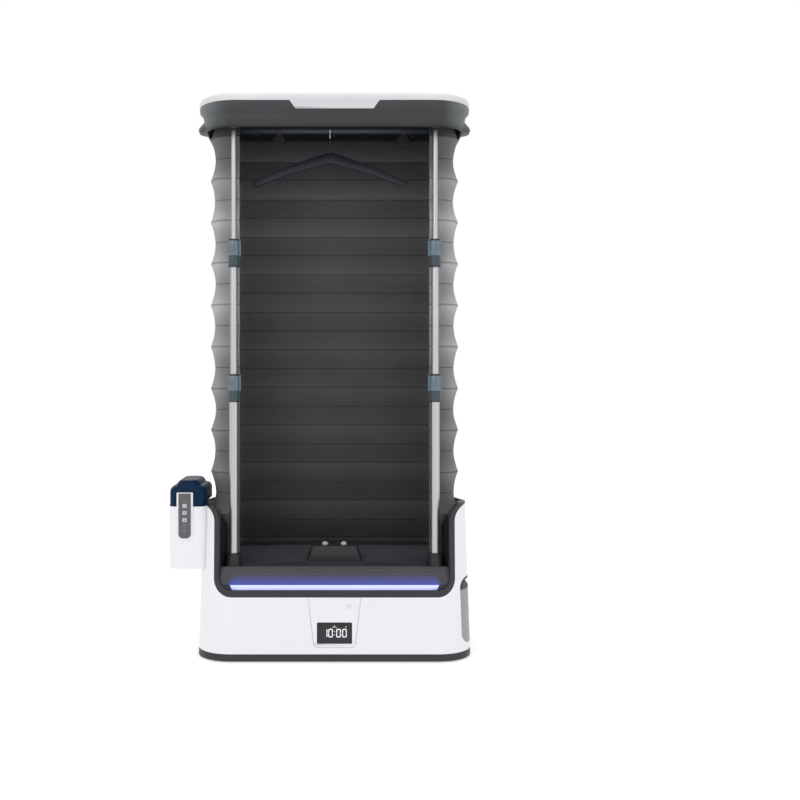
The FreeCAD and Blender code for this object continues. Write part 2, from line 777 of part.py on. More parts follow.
# ---------------------------------------------------------------- drawer on the right
def build_drawer():
    """Curved front, dark grip and tub of the waste water drawer."""
    ring = shell_ring(TRAY_RIM_TOP, WING_TOP, 0, SHELL_WALL)
    region = drawer_region(DRAWER_GAP)
    front = ring.common(region).common(box(0, HALF_W, -HALF_D, HALF_D, 0, GRIP_BOTTOM))
    thick = shell_ring(TRAY_RIM_TOP, WING_TOP, 0, GRIP_DEPTH)
    grip = thick.common(region)
    grip = grip.common(box(OPENING_HALF + 2, HALF_W, -HALF_D, HALF_D, GRIP_BOTTOM, DRAWER_TOP))
    scoop = shell_ring(TRAY_RIM_TOP, WING_TOP, -1, GRIP_DEPTH - SCOOP_WALL)
    scoop_bottom = GRIP_BOTTOM + SCOOP_MARGIN
    scoop = scoop.common(
        box(
            0, HALF_W + 5, -HALF_D + DRAWER_FRONT_SETBACK + DRAWER_CORNER_R, DRAWER_BACK_Y - DRAWER_CORNER_R,
            scoop_bottom, scoop_bottom + SCOOP_HEIGHT,
        )
    )
    grip = grip.cut(scoop)
    outer_x = HALF_W - WALL_DRAFT * TUB_TOP / WING_TOP - SHELL_WALL - FIT
    bottom = DRAWER_BOTTOM + DRAWER_GAP + FIT
    back = DRAWER_BACK_Y - 4
    tub = slab(TUB_INNER_X, outer_x, TUB_FRONT_Y, back, 10, bottom, TUB_TOP)
    hollow = slab(
        TUB_INNER_X + DRAWER_WALL, outer_x - DRAWER_WALL, TUB_FRONT_Y + DRAWER_WALL, back - DRAWER_WALL,
        10 - DRAWER_WALL, bottom + DRAWER_WALL, TUB_TOP + 1,
    )
    return front, grip, tub.cut(hollow)


# ---------------------------------------------------------------- pod and tank on the left
def pod_slab(inset, wall_gap, z0, z1):
    """The pod's outline, moved inwards, with the base's wall taken out of it."""
    body = slab(
        POD_LEFT + inset, POD_RIGHT - inset, POD_FRONT + inset, POD_BACK - inset,
        POD_CORNER_R - inset, z0, z1,
    )
    return body.cut(shell_prism(z0 - 1, z1 + 1, -wall_gap))


def mode_button_heights():
    """Heights of the three programme buttons, top first."""
    return [MODE_BUTTON_TOP_Z - i * MODE_BUTTON_PITCH for i in range(3)]


def button_prism(z, grow, y0, y1):
    """Outline of one programme button."""
    half = MODE_BUTTON_HALF + grow
    low = z - MODE_BUTTON_HEIGHT / 2 - grow
    high = z + MODE_BUTTON_HEIGHT / 2 + grow
    corners = [(-half, low, 2), (half, low, 2), (half, high, 2), (-half, high, 2)]
    return front_plate([(STRIP_X + x, v, r) for x, v, r in corners], y0, y1)


def strip_corners(grow):
    """Outline of the control strip, rounded at the bottom."""
    half = STRIP_HALF + grow
    round_r = STRIP_HALF * 0.7 + grow
    return [
        (STRIP_X - half, STRIP_TOP + grow * 0.4, 2),
        (STRIP_X - half, STRIP_BOTTOM - grow, round_r),
        (STRIP_X + half, STRIP_BOTTOM - grow, round_r),
        (STRIP_X + half, STRIP_TOP + grow * 0.4, 2),
    ]


def build_pod():
    """Tank holder on the left wall, with its control strip and programme buttons."""
    floor_top = POD_BOTTOM + POD_WALL
    body = pod_slab(0, FIT, POD_BOTTOM, POD_TOP)
    hollow = pod_slab(POD_WALL, POD_WALL + FIT, floor_top, POD_TOP + 1)
    body = body.cut(hollow)
    tongue_front = POD_FRONT - TONGUE_THICK + POD_WALL
    tongue = front_plate(strip_corners(TONGUE_MARGIN), tongue_front, POD_FRONT + POD_WALL)
    body = fused(body, tongue)
    strip_front = tongue_front - STRIP_THICK
    strip = front_plate(strip_corners(0), strip_front, tongue_front)
    buttons = []
    for z in mode_button_heights():
        pocket_back = strip_front - BUTTON_PROUD + MODE_BUTTON_LENGTH + 2
        body = body.cut(button_prism(z, BUTTON_PLAY, tongue_front - 1, pocket_back))
        strip = strip.cut(button_prism(z, BUTTON_PLAY, strip_front - 1, tongue_front + 1))
        face_y = strip_front - BUTTON_PROUD
        buttons.append(button_prism(z, 0, face_y, face_y + MODE_BUTTON_LENGTH))
    spigot_z = floor_top + SEAT_HEIGHT / 2
    body = body.cut(rod_x(TANK_X, POD_RIGHT + 5, TANK_Y, spigot_z, SPIGOT_R + 0.05))
    return body, strip, buttons


def build_tank():
    """Lift-out water tank, its domed cap, its valve and the seat it stands on."""
    floor_top = POD_BOTTOM + POD_WALL
    seat_top = floor_top + SEAT_HEIGHT
    spigot_z = floor_top + SEAT_HEIGHT / 2
    tank_bottom = seat_top + FIT
    gap = POD_WALL + TANK_PLAY
    tank = pod_slab(gap, gap + FIT, tank_bottom, POD_TOP)
    inner = pod_slab(gap + TANK_WALL, gap + FIT + TANK_WALL, tank_bottom + TANK_WALL, POD_TOP + 1)
    tank = tank.cut(inner)
    floor_hole = post(
        TANK_X, TANK_Y, tank_bottom - 1, tank_bottom + TANK_WALL + 1, VALVE_STEM_R + RUNNING_PLAY
    )
    tank = tank.cut(floor_hole)
    head_z = tank_bottom + TANK_WALL + RUNNING_PLAY
    stem_bottom = spigot_z + SPIGOT_BORE_R
    valve = fused(
        post(TANK_X, TANK_Y, head_z, head_z + VALVE_HEAD_H, VALVE_R),
        post(TANK_X, TANK_Y, stem_bottom, head_z + 1, VALVE_STEM_R),
    )
    seat = post(TANK_X, TANK_Y, floor_top, seat_top, SEAT_R)
    elbow_x = -HALF_W + WALL_DRAFT * spigot_z / WING_TOP + SHELL_WALL + SPIGOT_R + 2
    seat = fused(
        seat,
        rod_x(TANK_X, elbow_x, TANK_Y, spigot_z, SPIGOT_R),
        post(elbow_x, TANK_Y, DECK_BOTTOM - 4, spigot_z, SPIGOT_R),
        Part.makeSphere(SPIGOT_R, Vector(elbow_x, TANK_Y, spigot_z)),
    )
    seat = seat.cut(post(TANK_X, TANK_Y, floor_top + 2, seat_top + 1, VALVE_STEM_R + 1))
    seat = seat.cut(rod_x(TANK_X, elbow_x, TANK_Y, spigot_z, SPIGOT_BORE_R))
    seat = seat.cut(post(elbow_x, TANK_Y, DECK_BOTTOM - 5, spigot_z, SPIGOT_BORE_R))
    seat = fused(seat, post(TANK_X, TANK_Y, floor_top + 1, stem_bottom - FIT, VALVE_PIN_R))

    shoulder_top = POD_TOP + CAP_SHOULDER
    right = -BELLOWS_HALF - 4
    left = POD_LEFT + 1
    front = POD_FRONT + POD_WALL + TANK_PLAY
    back = POD_BACK - 2
    radius = POD_CORNER_R - 3
    centre_x = (left + right) / 2

    def cap_wires(shrink, z_floor, z_lift):
        step = CAP_SHOULDER_ROUND
        levels = [(z_floor, 0)]
        for angle in (0, 30, 60, 90):
            turn = math.radians(angle)
            rise = (step - z_lift) * math.sin(turn)
            levels.append((shoulder_top - step + rise, (step - shrink) * (1 - math.cos(turn))))
        return [
            plan_wire(left + shrink + d, right - shrink - d, front + shrink + d, back - shrink - d,
                      radius - shrink, z)
            for z, d in levels
        ]

    def dome_wires(shrink, lift):
        foot_z = shoulder_top - CAP_DOME_SINK - lift
        height = CAP_DOME + CAP_DOME_SINK
        steps = (0, 25, 50, 75)
        whole = math.sin(math.radians(steps[-1]))
        levels = []
        for angle in steps:
            turn = math.radians(angle)
            levels.append((foot_z + height * math.sin(turn) / whole, CAP_DOME_ROUND * (1 - math.cos(turn))))
        half = CAP_DOME_HALF - shrink
        return [
            plan_wire(centre_x - half + d, centre_x + half - d, front + CAP_DOME_SETBACK + shrink + d,
                      back - CAP_DOME_SETBACK - shrink - d, radius - shrink, z)
            for z, d in levels
        ]

    bottom = POD_TOP + FIT
    cap = fused(stack(cap_wires(0, bottom, 0)), stack(dome_wires(0, 0)))
    hollow = stack(cap_wires(CAP_WALL, bottom - 1, CAP_WALL))
    cap = cap.cut(hollow).cut(stack(dome_wires(CAP_WALL, CAP_WALL)))
    lip = slab(left - 1.5, left + CAP_WALL, front + 20, back - 20, 0.7, bottom, bottom + CAP_LIP)
    cap = fused(cap, lip)
    clearance = shell_prism(POD_TOP - 1, WING_TOP + RIM_HEIGHT + 1, -1)
    cap = cap.cut(clearance)
    return tank, valve, seat, cap


# ---------------------------------------------------------------- poles
def tube(x_side, z0, z1, radius):
    """One section of pole."""
    return pipe(x_side * POLE_X, POLE_Y, z0, z1, radius, radius - TUBE_WALL)


def build_clamp(z0, below_r, above_r):
    """Collar fixed to the top of one tube and gripping the next, and its lever, for the right pole."""
    foot_top = z0 + CLAMP_HEIGHT * CLAMP_FOOT_SHARE
    top = z0 + CLAMP_HEIGHT
    x, y = POLE_X, POLE_Y
    collar = fused(
        post(x, y, z0, foot_top, CLAMP_R),
        post(x, y, foot_top, top - CLAMP_RING, CLAMP_NECK_R),
        post(x, y, top - CLAMP_RING, top, CLAMP_R - 0.6),
    )
    lever_inner = CLAMP_NECK_R + FIT
    lever_outer = lever_inner + LEVER_WALL
    pin_x = x - lever_inner - PIN_R - PIN_PLAY - EYE_WALL
    ear_r = PIN_R + EYE_WALL
    ears = [
        post(pin_x, y, foot_top - 4, foot_top, ear_r),
        box(pin_x, x - CLAMP_NECK_R + 1, y - ear_r, y + ear_r, foot_top - 4, foot_top),
        post(pin_x, y, top - CLAMP_RING, top - 1, ear_r),
        box(pin_x, x - CLAMP_NECK_R + 1, y - ear_r, y + ear_r, top - CLAMP_RING, top - 1),
        post(pin_x, y, foot_top - 1, top - CLAMP_RING + 1, PIN_R),
    ]
    collar = fused(collar, *ears)
    collar = collar.cut(post(x, y, z0 - 1, foot_top - 2, below_r + 0.02))
    collar = collar.cut(post(x, y, foot_top - 3, top + 1, above_r + FIT))
    lever_z0 = foot_top + FIT
    lever_z1 = top - CLAMP_RING - FIT
    lever = pipe(x, y, lever_z0, lever_z1, lever_outer, lever_inner)
    lever = lever.common(box(x - lever_outer - 1, x + lever_outer + 1, y - lever_outer - 1, y, 0, top))
    eye = post(pin_x, y, lever_z0, lever_z1, ear_r + PIN_PLAY)
    thumb = slab(
        x + lever_inner + 0.2, x + lever_outer + 1.6, y - 7, y + 4, 0.8, lever_z0 + 4, lever_z1 - 4
    )
    lever = fused(lever, eye, thumb)
    lever = lever.cut(post(pin_x, y, lever_z0 - 1, lever_z1 + 1, PIN_R + PIN_PLAY))
    lever = lever.cut(post(x, y, lever_z0 - 1, lever_z1 + 1, lever_inner))
    return collar, lever


# ---------------------------------------------------------------- fabric wall
def swept_section(section):
    """Carry an (offset, z) section round both sides and the back as one solid."""
    front_x = BELLOWS_HALF - BELLOWS_FRONT_R
    rear_x = BELLOWS_HALF - BELLOWS_BACK_R
    front_y = BELLOWS_FRONT + BELLOWS_FRONT_R
    rear_y = BELLOWS_BACK - BELLOWS_BACK_R

    def face(origin, outward):
        points = [origin + outward * off + Vector(0, 0, z) for off, z in section]
        return Part.Face(Part.makePolygon(points + points[:1]))

    run = face(Vector(-BELLOWS_RETURN_EDGE, BELLOWS_FRONT, 0), Vector(0, -1, 0))
    corner = face(Vector(-front_x, BELLOWS_FRONT, 0), Vector(0, -1, 0))
    side = face(Vector(-BELLOWS_HALF, front_y, 0), Vector(-1, 0, 0))
    rear = face(Vector(-BELLOWS_HALF, rear_y, 0), Vector(-1, 0, 0))
    across = face(Vector(-rear_x, BELLOWS_BACK, 0), Vector(0, 1, 0))
    pieces = [
        run.extrude(Vector(BELLOWS_RETURN_EDGE - front_x, 0, 0)),
        corner.revolve(Vector(-front_x, front_y, 0), Vector(0, 0, 1), -90),
        side.extrude(Vector(0, rear_y - front_y, 0)),
        rear.revolve(Vector(-rear_x, rear_y, 0), Vector(0, 0, 1), -90),
    ]
    pieces = pieces + [mirrored(piece) for piece in pieces]
    pieces.append(across.extrude(Vector(2 * rear_x, 0, 0)))
    return fused(*pieces)


def bellows_section():
    """Zigzag of the pleats, peaks outwards, starting with a peak."""
    half_pitch = (BELLOWS_TOP - BELLOWS_BOTTOM) / (2 * PLEAT_COUNT)
    outer = []
    for i in range(round(2 * PLEAT_COUNT) + 1):
        outer.append((-PLEAT_DEPTH if i % 2 else 0.0, BELLOWS_BOTTOM + i * half_pitch))
    inner = [(off - FABRIC_WALL, z) for off, z in reversed(outer)]
    return outer + inner


def rail_section(outer_off, z0, z1):
    """Section of the rail that holds one end of the fabric."""
    inner_off = outer_off - RAIL_WALL
    return [(outer_off, z0), (outer_off, z1), (inner_off, z1), (inner_off, z0)]


# ---------------------------------------------------------------- lid
def lid_wire(z, share, shrink):
    """Outline of the lid at a height, widest just behind the front.

    share runs from 0 at the brim to 1 at the foot, and shrink moves the whole outline inwards.
    """
    foot_half = BELLOWS_HALF + LID_CLEAR + LID_SIDE_WALL
    wide = LID_HALF - LID_TAPER * share - shrink
    shoulder, rear = [
        LID_HALF - narrow + (foot_half - LID_HALF + narrow) * share - shrink
        for narrow in (LID_SHOULDER_IN, LID_REAR_IN)
    ]
    front = LID_FRONT + LID_FRONT_TAPER * share + shrink
    back = LID_BACK - LID_FRONT_TAPER * share - shrink
    radius = LID_CORNER_R - LID_TAPER * share - shrink
    bend = LID_FRONT + LID_SHOULDER_LENGTH
    corners = [
        (-wide, front, radius),
        (wide, front, radius),
        (shoulder, bend, 0),
        (rear, back, radius),
        (-rear, back, radius),
        (-shoulder, bend, 0),
    ]
    return rounded_wire(corners, lambda u, v: Vector(u, v, z))


def lid_body():
    """Tapered outside of the lid, flared side grips left out."""
    waist_share = LID_WAIST_IN / LID_TAPER
    levels = [
        (LID_BOTTOM, 1),
        (LID_WAIST_Z - LID_WAIST_BLEND, (1 + waist_share) / 2),
        (LID_WAIST_Z, waist_share),
        (LID_FRAME_TOP - LID_BROW_DROP, LID_BROW_IN / LID_TAPER),
        (LID_FRAME_TOP, 0),
    ]
    return stack([lid_wire(z, share, 0) for z, share in levels])


def tab_prism(grow):
    """The bare plate that hangs from the white top at the middle of the front."""
    z0 = LID_FRAME_TOP - TAB_HEIGHT - grow
    return front_plate(
        [
            (-TAB_TOP_HALF - grow, LID_FRAME_TOP + 1, 0),
            (-TAB_BOTTOM_HALF - grow, z0, 2),
            (TAB_BOTTOM_HALF + grow, z0, 2),
            (TAB_TOP_HALF + grow, LID_FRAME_TOP + 1, 0),
        ],
        LID_FRONT - 5,
        LID_FRONT + TAB_THICK + LID_BROW_IN,
    )


def cavity_slab(clearance, z0, z1):
    """The hollow under the lid, which takes the fabric and the folded poles."""
    grow = LID_CLEAR - clearance
    return slab(
        -BELLOWS_HALF - grow, BELLOWS_HALF + grow,
        LID_FRONT + LID_FRONT_TAPER + LID_FRONT_WALL + clearance, BELLOWS_BACK + grow,
        BELLOWS_FRONT_R + grow, z0, z1,
    )


def build_lid():
    """Dark frame with flared side grips, white top with its front plate, and the ceiling."""
    flange_front = LID_FRONT + FLANGE_FRONT_SETBACK
    flange_back = flange_front + FLANGE_LENGTH
    flange_levels = [
        (LID_BOTTOM, 3),
        (LID_BOTTOM + FLANGE_HEIGHT * 0.6, 0),
        (LID_BOTTOM + FLANGE_HEIGHT, 2),
        (LID_BOTTOM + FLANGE_HEIGHT + FLANGE_BLEND, FLANGE_REACH - BELLOWS_HALF - LID_CLEAR - LID_SIDE_WALL),
    ]
    flange = stack(
        [
            plan_wire(-FLANGE_REACH + d, FLANGE_REACH - d, flange_front + d, flange_back - d,
                      FLANGE_CORNER_R - d, z)
            for z, d in flange_levels
        ]
    )
    frame = fused(lid_body(), flange)
    frame = frame.cut(cavity_slab(0, LID_BOTTOM - 1, CEILING_TOP))
    frame = frame.cut(cavity_slab(LID_LEDGE, CEILING_TOP - 1, LID_FRAME_TOP + 1))
    plate_space = tab_prism(0.3)
    frame = frame.cut(plate_space)

    cover = stack(
        [
            lid_wire(LID_FRAME_TOP, 0, 0),
            lid_wire(LID_TOP - LID_EDGE_ROUND, 0, 0),
            lid_wire(LID_TOP - LID_EDGE_ROUND * 0.3, 0, LID_EDGE_ROUND * 0.3),
            lid_wire(LID_TOP, 0, LID_EDGE_ROUND),
        ]
    )
    hollow = stack(
        [
            lid_wire(LID_FRAME_TOP - 1, 0, LID_LEDGE),
            lid_wire(LID_TOP - LID_TOP_WALL, 0, LID_LEDGE + LID_EDGE_ROUND),
        ]
    )
    cover = cover.cut(hollow)
    tab = tab_prism(0).common(lid_body())
    cover = fused(cover, tab)

    ceiling = cavity_slab(FIT, CEILING_BOTTOM, CEILING_TOP)
    details = []
    for side in (-1, 1):
        details.append(
            post(side * POLE_X, POLE_Y, LID_BOTTOM + 1, CEILING_BOTTOM + 1, UPPER_TUBE_R + LID_SOCKET_WALL)
        )
        x0 = RAIL_HALF if side > 0 else -RAIL_HALF - CHEEK_THICK
        details.append(
            box(x0, x0 + CHEEK_THICK, -CHEEK_WIDTH / 2, CHEEK_WIDTH / 2, RAIL_Z - RAIL_R - 5,
                CEILING_BOTTOM + 1)
        )
    ceiling = fused(ceiling, *details)
    for side in (-1, 1):
        ceiling = ceiling.cut(
            post(side * POLE_X, POLE_Y, LID_BOTTOM, CEILING_BOTTOM, UPPER_TUBE_R + 0.02)
        )
    return frame, cover, ceiling


def build_clip(x):
    """Sliding garment clip: a ring round the rail with a flared blade below."""
    ring_r = RAIL_R + FIT + CLIP_WALL
    half = CLIP_WIDTH / 2
    ring = rod_x(x - half, x + half, 0, RAIL_Z, ring_r)
    neck_z = RAIL_Z - RAIL_R - 4
    low_z = neck_z - CLIP_BLADE_H
    wide = CLIP_BLADE_HALF + 5
    blade = front_plate(
        [
            (x - half, RAIL_Z, 0),
            (x + half, RAIL_Z, 0),
            (x + half, neck_z, 0),
            (x + wide, neck_z - 9, 2),
            (x + CLIP_BLADE_HALF, neck_z - 15, 1),
            (x + CLIP_BLADE_HALF - 1, low_z, 2),
            (x - CLIP_BLADE_HALF + 1, low_z, 2),
            (x - CLIP_BLADE_HALF, neck_z - 15, 1),
            (x - wide, neck_z - 9, 2),
            (x - half, neck_z, 0),
        ],
        -4,
        4,
    )
    body = fused(ring, blade)
    return body.cut(rod_x(x - half - 1, x + half + 1, 0, RAIL_Z, RAIL_R + FIT))


def build_hanger():
    """Plain coat hanger: steel hook over the rail, shaped shoulders below."""
    hook_r = RAIL_R + FIT + HANGER_WIRE_R
    x = HANGER_X
    top = Vector(x, 0, RAIL_Z + hook_r)
    rear_end = Vector(x, hook_r * math.cos(math.radians(30)), RAIL_Z - hook_r * math.sin(math.radians(30)))
    front_side = Vector(x, -hook_r, RAIL_Z)
    bend_r = 12.0
    turn_z = RAIL_Z - hook_r
    neck_top = Vector(x, 0, turn_z - 3)
    yoke_z = RAIL_Z - HANGER_DROP
    arc_mid = Vector(
        x, -hook_r * math.cos(math.radians(-45)), RAIL_Z + hook_r * math.sin(math.radians(45))
    )
    sweep = [
        Part.Arc(rear_end, top, arc_mid).toShape(),
        Part.Arc(arc_mid, front_side, Vector(x, -hook_r * math.cos(math.radians(40)),
                                             RAIL_Z - hook_r * math.sin(math.radians(40)))).toShape(),
    ]
    last = Vector(x, -hook_r * math.cos(math.radians(40)), RAIL_Z - hook_r * math.sin(math.radians(40)))
    along = Vector(0, math.sin(math.radians(40)), -math.cos(math.radians(40)))
    reach = (0 - last.y) / along.y
    corner = last + along * reach
    foot = Vector(x, 0, yoke_z - HANGER_NECK / 2)
    down = Vector(0, 0, -1)
    back = along * -1
    half_turn = back.getAngle(down) / 2
    cut_len = bend_r / math.tan(half_turn)
    middle = (back + down).normalize()
    centre = corner + middle * (bend_r / math.sin(half_turn))
    entry = corner + back * cut_len
    leave = corner + down * cut_len
    sweep.append(Part.LineSegment(last, entry).toShape())
    sweep.append(Part.Arc(entry, centre - middle * bend_r, leave).toShape())
    sweep.append(Part.LineSegment(leave, foot).toShape())
    path = Part.Wire(sweep)
    start_dir = Vector(0, math.sin(math.radians(30)) * -1, -math.cos(math.radians(30)))
    ring = Part.Wire([Part.makeCircle(HANGER_WIRE_R, rear_end, start_dir)])
    hook = path.makePipeShell([ring], True, False)

    half = HANGER_SPAN / 2
    arm = HANGER_ARM_H
    outline = [
        (x - 11, yoke_z, 4),
        (x - half * 0.5, yoke_z - SHOULDER_FALL * 0.42, 60),
        (x - half, yoke_z - SHOULDER_FALL, 6),
        (x - half + 4, yoke_z - SHOULDER_FALL - arm, 6),
        (x - half * 0.5 + 4, yoke_z - SHOULDER_FALL * 0.42 - arm * 1.3, 60),
        (x, yoke_z - HANGER_NECK, 30),
        (x + half * 0.5 - 4, yoke_z - SHOULDER_FALL * 0.42 - arm * 1.3, 60),
        (x + half - 4, yoke_z - SHOULDER_FALL - arm, 6),
        (x + half, yoke_z - SHOULDER_FALL, 6),
        (x + half * 0.5, yoke_z - SHOULDER_FALL * 0.42, 60),
        (x + 11, yoke_z, 4),
    ]
    body = front_plate(outline, -HANGER_THICK / 2, HANGER_THICK / 2)
    body = body.cut(post(x, 0, yoke_z - HANGER_NECK / 2, yoke_z + 1, HANGER_WIRE_R + 0.02))
    return hook, body


# ---------------------------------------------------------------- works inside the base
def build_boiler():
    """Cast pot on four legs, its cover and the heating ring under it."""
    bottom = FLOOR_TOP + BOILER_FOOT_H
    top = bottom + BOILER_HEIGHT
    pot = post(0, BOILER_Y, bottom, top - BOILER_WALL, BOILER_R)
    pot = pot.cut(post(0, BOILER_Y, bottom + 2 * HEATER_ROD_R + 4, top, BOILER_R - BOILER_WALL))
    legs = []
    for sx in (-1, 1):
        for sy in (-1, 1):
            legs.append(
                post(sx * BOILER_R * 0.6, BOILER_Y + sy * BOILER_R * 0.6, FLOOR_TOP, bottom + 1, 5)
            )
    inlet_z = bottom + BOILER_HEIGHT * 0.45
    inlet = rod_x(-BOILER_R - 10, -BOILER_R + BOILER_WALL, BOILER_Y, inlet_z, 4)
    pot = fused(pot, inlet, *legs)
    pot = pot.cut(rod_x(-BOILER_R - 11, -BOILER_R + BOILER_WALL + 2, BOILER_Y, inlet_z, 2))
    ring = Part.makeTorus(HEATER_RING_R, HEATER_ROD_R, Vector(0, BOILER_Y, bottom))
    pot = pot.cut(Part.makeTorus(HEATER_RING_R, HEATER_ROD_R + 0.1, Vector(0, BOILER_Y, bottom)))
    cover = post(0, BOILER_Y, top - BOILER_WALL, top, BOILER_R)
    cover = fused(cover, post(0, BOILER_Y, top - 1, top + 12, STEAM_PIPE_BORE_R - 0.05))
    cover = cover.cut(post(0, BOILER_Y, top - BOILER_WALL - 1, top + 13, STEAM_PIPE_BORE_R - 1.6))
    pipe_bottom = top
    pipe_top = DECK_BOTTOM - 2
    steam_pipe = pipe(0, BOILER_Y, pipe_bottom, pipe_top, STEAM_PIPE_R, STEAM_PIPE_BORE_R)
    return pot, cover, ring, steam_pipe, inlet_z


def build_nozzles():
    """Raised housing on the deck that spreads the steam to two nozzles."""
    y0 = BOILER_Y - NOZZLE_DEPTH / 2
    y1 = BOILER_Y + NOZZLE_DEPTH / 2
    top = DECK_TOP + NOZZLE_HEIGHT
    wall = NOZZLE_WALL

    def form(shrink, z0, z1):
        return stack(
            [
                plan_wire(-NOZZLE_HALF + shrink, NOZZLE_HALF - shrink, y0 + shrink, y1 - shrink, 12 - shrink,
                          z0),
                plan_wire(-NOZZLE_TOP_HALF + shrink, NOZZLE_TOP_HALF - shrink, y0 + 8 + shrink,
                          y1 - 8 - shrink, 12 - shrink, z1),
            ]
        )

    housing = form(0, DECK_TOP, top).cut(form(wall, DECK_TOP + wall, top - wall))
    neck = post(0, BOILER_Y, DECK_BOTTOM - 22, DECK_TOP + 1, STEAM_PIPE_BORE_R - 0.05)
    housing = fused(housing, neck)
    housing = housing.cut(post(0, BOILER_Y, DECK_BOTTOM - 23, DECK_TOP + wall + 1, STEAM_PIPE_BORE_R - 1.6))
    nozzles = []
    for side in (-1, 1):
        x = side * NOZZLE_PITCH / 2
        housing = housing.cut(post(x, BOILER_Y, top - wall - 1, top + 1, NOZZLE_R * 0.7 + 0.05))
        body = fused(
            post(x, BOILER_Y, top - wall - 2, top, NOZZLE_R * 0.7),
            Part.makeCone(NOZZLE_R, NOZZLE_R * 0.75, NOZZLE_RISE, Vector(x, BOILER_Y, top)),
        )
        nozzles.append(body.cut(post(x, BOILER_Y, top - wall - 3, top + NOZZLE_RISE + 1, NOZZLE_BORE_R)))
    return housing, nozzles


def build_fan():
    """Blower housing, its wheel and motor, the warm air heater and the duct up to the deck."""
    top = FAN_BOTTOM + FAN_HEIGHT
    out_y0 = FAN_Y + FAN_R - 36
    out_y1 = FAN_Y + FAN_R - 2
    heater_x1 = DUCT_HALF + HEATER_LENGTH
    drum = post(FAN_X, FAN_Y, FAN_BOTTOM, top, FAN_R)
    throat = box(heater_x1, FAN_X, out_y0, out_y1, FAN_BOTTOM, top)
    housing = fused(drum, throat)
    inner = post(FAN_X, FAN_Y, FAN_BOTTOM + FAN_WALL, top - FAN_WALL, FAN_R - FAN_WALL).fuse(
        box(heater_x1 - 1, FAN_X, out_y0 + FAN_WALL, out_y1 - FAN_WALL, FAN_BOTTOM + FAN_WALL,
            top - FAN_WALL)
    )
    housing = housing.cut(inner)
    housing = housing.cut(post(FAN_X, FAN_Y, FAN_BOTTOM - 1, FAN_BOTTOM + FAN_WALL + 1, FAN_INLET_R))
    housing = housing.cut(post(FAN_X, FAN_Y, top - FAN_WALL - 1, top + 1, SHAFT_R + 1))

    wheel_z0 = FAN_BOTTOM + FAN_WALL + IMPELLER_GAP
    wheel_z1 = top - FAN_WALL - IMPELLER_GAP
    disc = post(FAN_X, FAN_Y, wheel_z1 - 2, wheel_z1, IMPELLER_R)
    hub = post(FAN_X, FAN_Y, wheel_z1 - 12, wheel_z1 + 1, SHAFT_R + 4)
    ring = pipe(FAN_X, FAN_Y, wheel_z0, wheel_z0 + 2, IMPELLER_R, IMPELLER_R - 10)
    blades = []
    for i in range(BLADE_COUNT):
        blade = box(
            IMPELLER_R - 9, IMPELLER_R - 0.5, -BLADE_THICK / 2, BLADE_THICK / 2, wheel_z0 + 1, wheel_z1 - 1
        )
        blade.rotate(Vector(IMPELLER_R - 5, 0, 0), Vector(0, 0, 1), 35)
        blade.rotate(Vector(0, 0, 0), Vector(0, 0, 1), i * 360.0 / BLADE_COUNT)
        blade.translate(Vector(FAN_X, FAN_Y, 0))
        blades.append(blade)
    wheel = fused(disc, hub, ring, *blades)
    wheel = wheel.cut(post(FAN_X, FAN_Y, wheel_z1 - 13, wheel_z1 + 2, SHAFT_R + RUNNING_PLAY))

    motor = fused(
        post(FAN_X, FAN_Y, top, top + 26, MOTOR_R),
        post(FAN_X, FAN_Y, wheel_z1 - 11, top + 1, SHAFT_R),
    )

    heater = box(DUCT_HALF, heater_x1, out_y0, out_y1, FAN_BOTTOM, top)
    heater = heater.cut(
        box(DUCT_HALF - 1, heater_x1 + 1, out_y0 + 2, out_y1 - 2, FAN_BOTTOM + 2, top - 2)
    )
    fins = []
    fin_count = 7
    for i in range(fin_count):
        z = FAN_BOTTOM + (i + 1) * FAN_HEIGHT / (fin_count + 1)
        fins.append(box(DUCT_HALF, heater_x1, out_y0 + 1, out_y1 - 1, z - 0.8, z + 0.8))
    heater = fused(heater, *fins)

    duct = box(-DUCT_HALF, DUCT_HALF, out_y0, out_y1, FAN_BOTTOM, DECK_BOTTOM)
    duct = duct.cut(
        box(-DUCT_HALF + DUCT_WALL, DUCT_HALF - DUCT_WALL, out_y0 + DUCT_WALL, out_y1 - DUCT_WALL,
            FAN_BOTTOM + DUCT_WALL, DECK_BOTTOM + 1)
    )
    duct = duct.cut(
        box(DUCT_HALF - DUCT_WALL - 1, DUCT_HALF + 1, out_y0 + DUCT_WALL, out_y1 - DUCT_WALL,
            FAN_BOTTOM + DUCT_WALL, top - DUCT_WALL)
    )
    return housing, wheel, motor, heater, duct


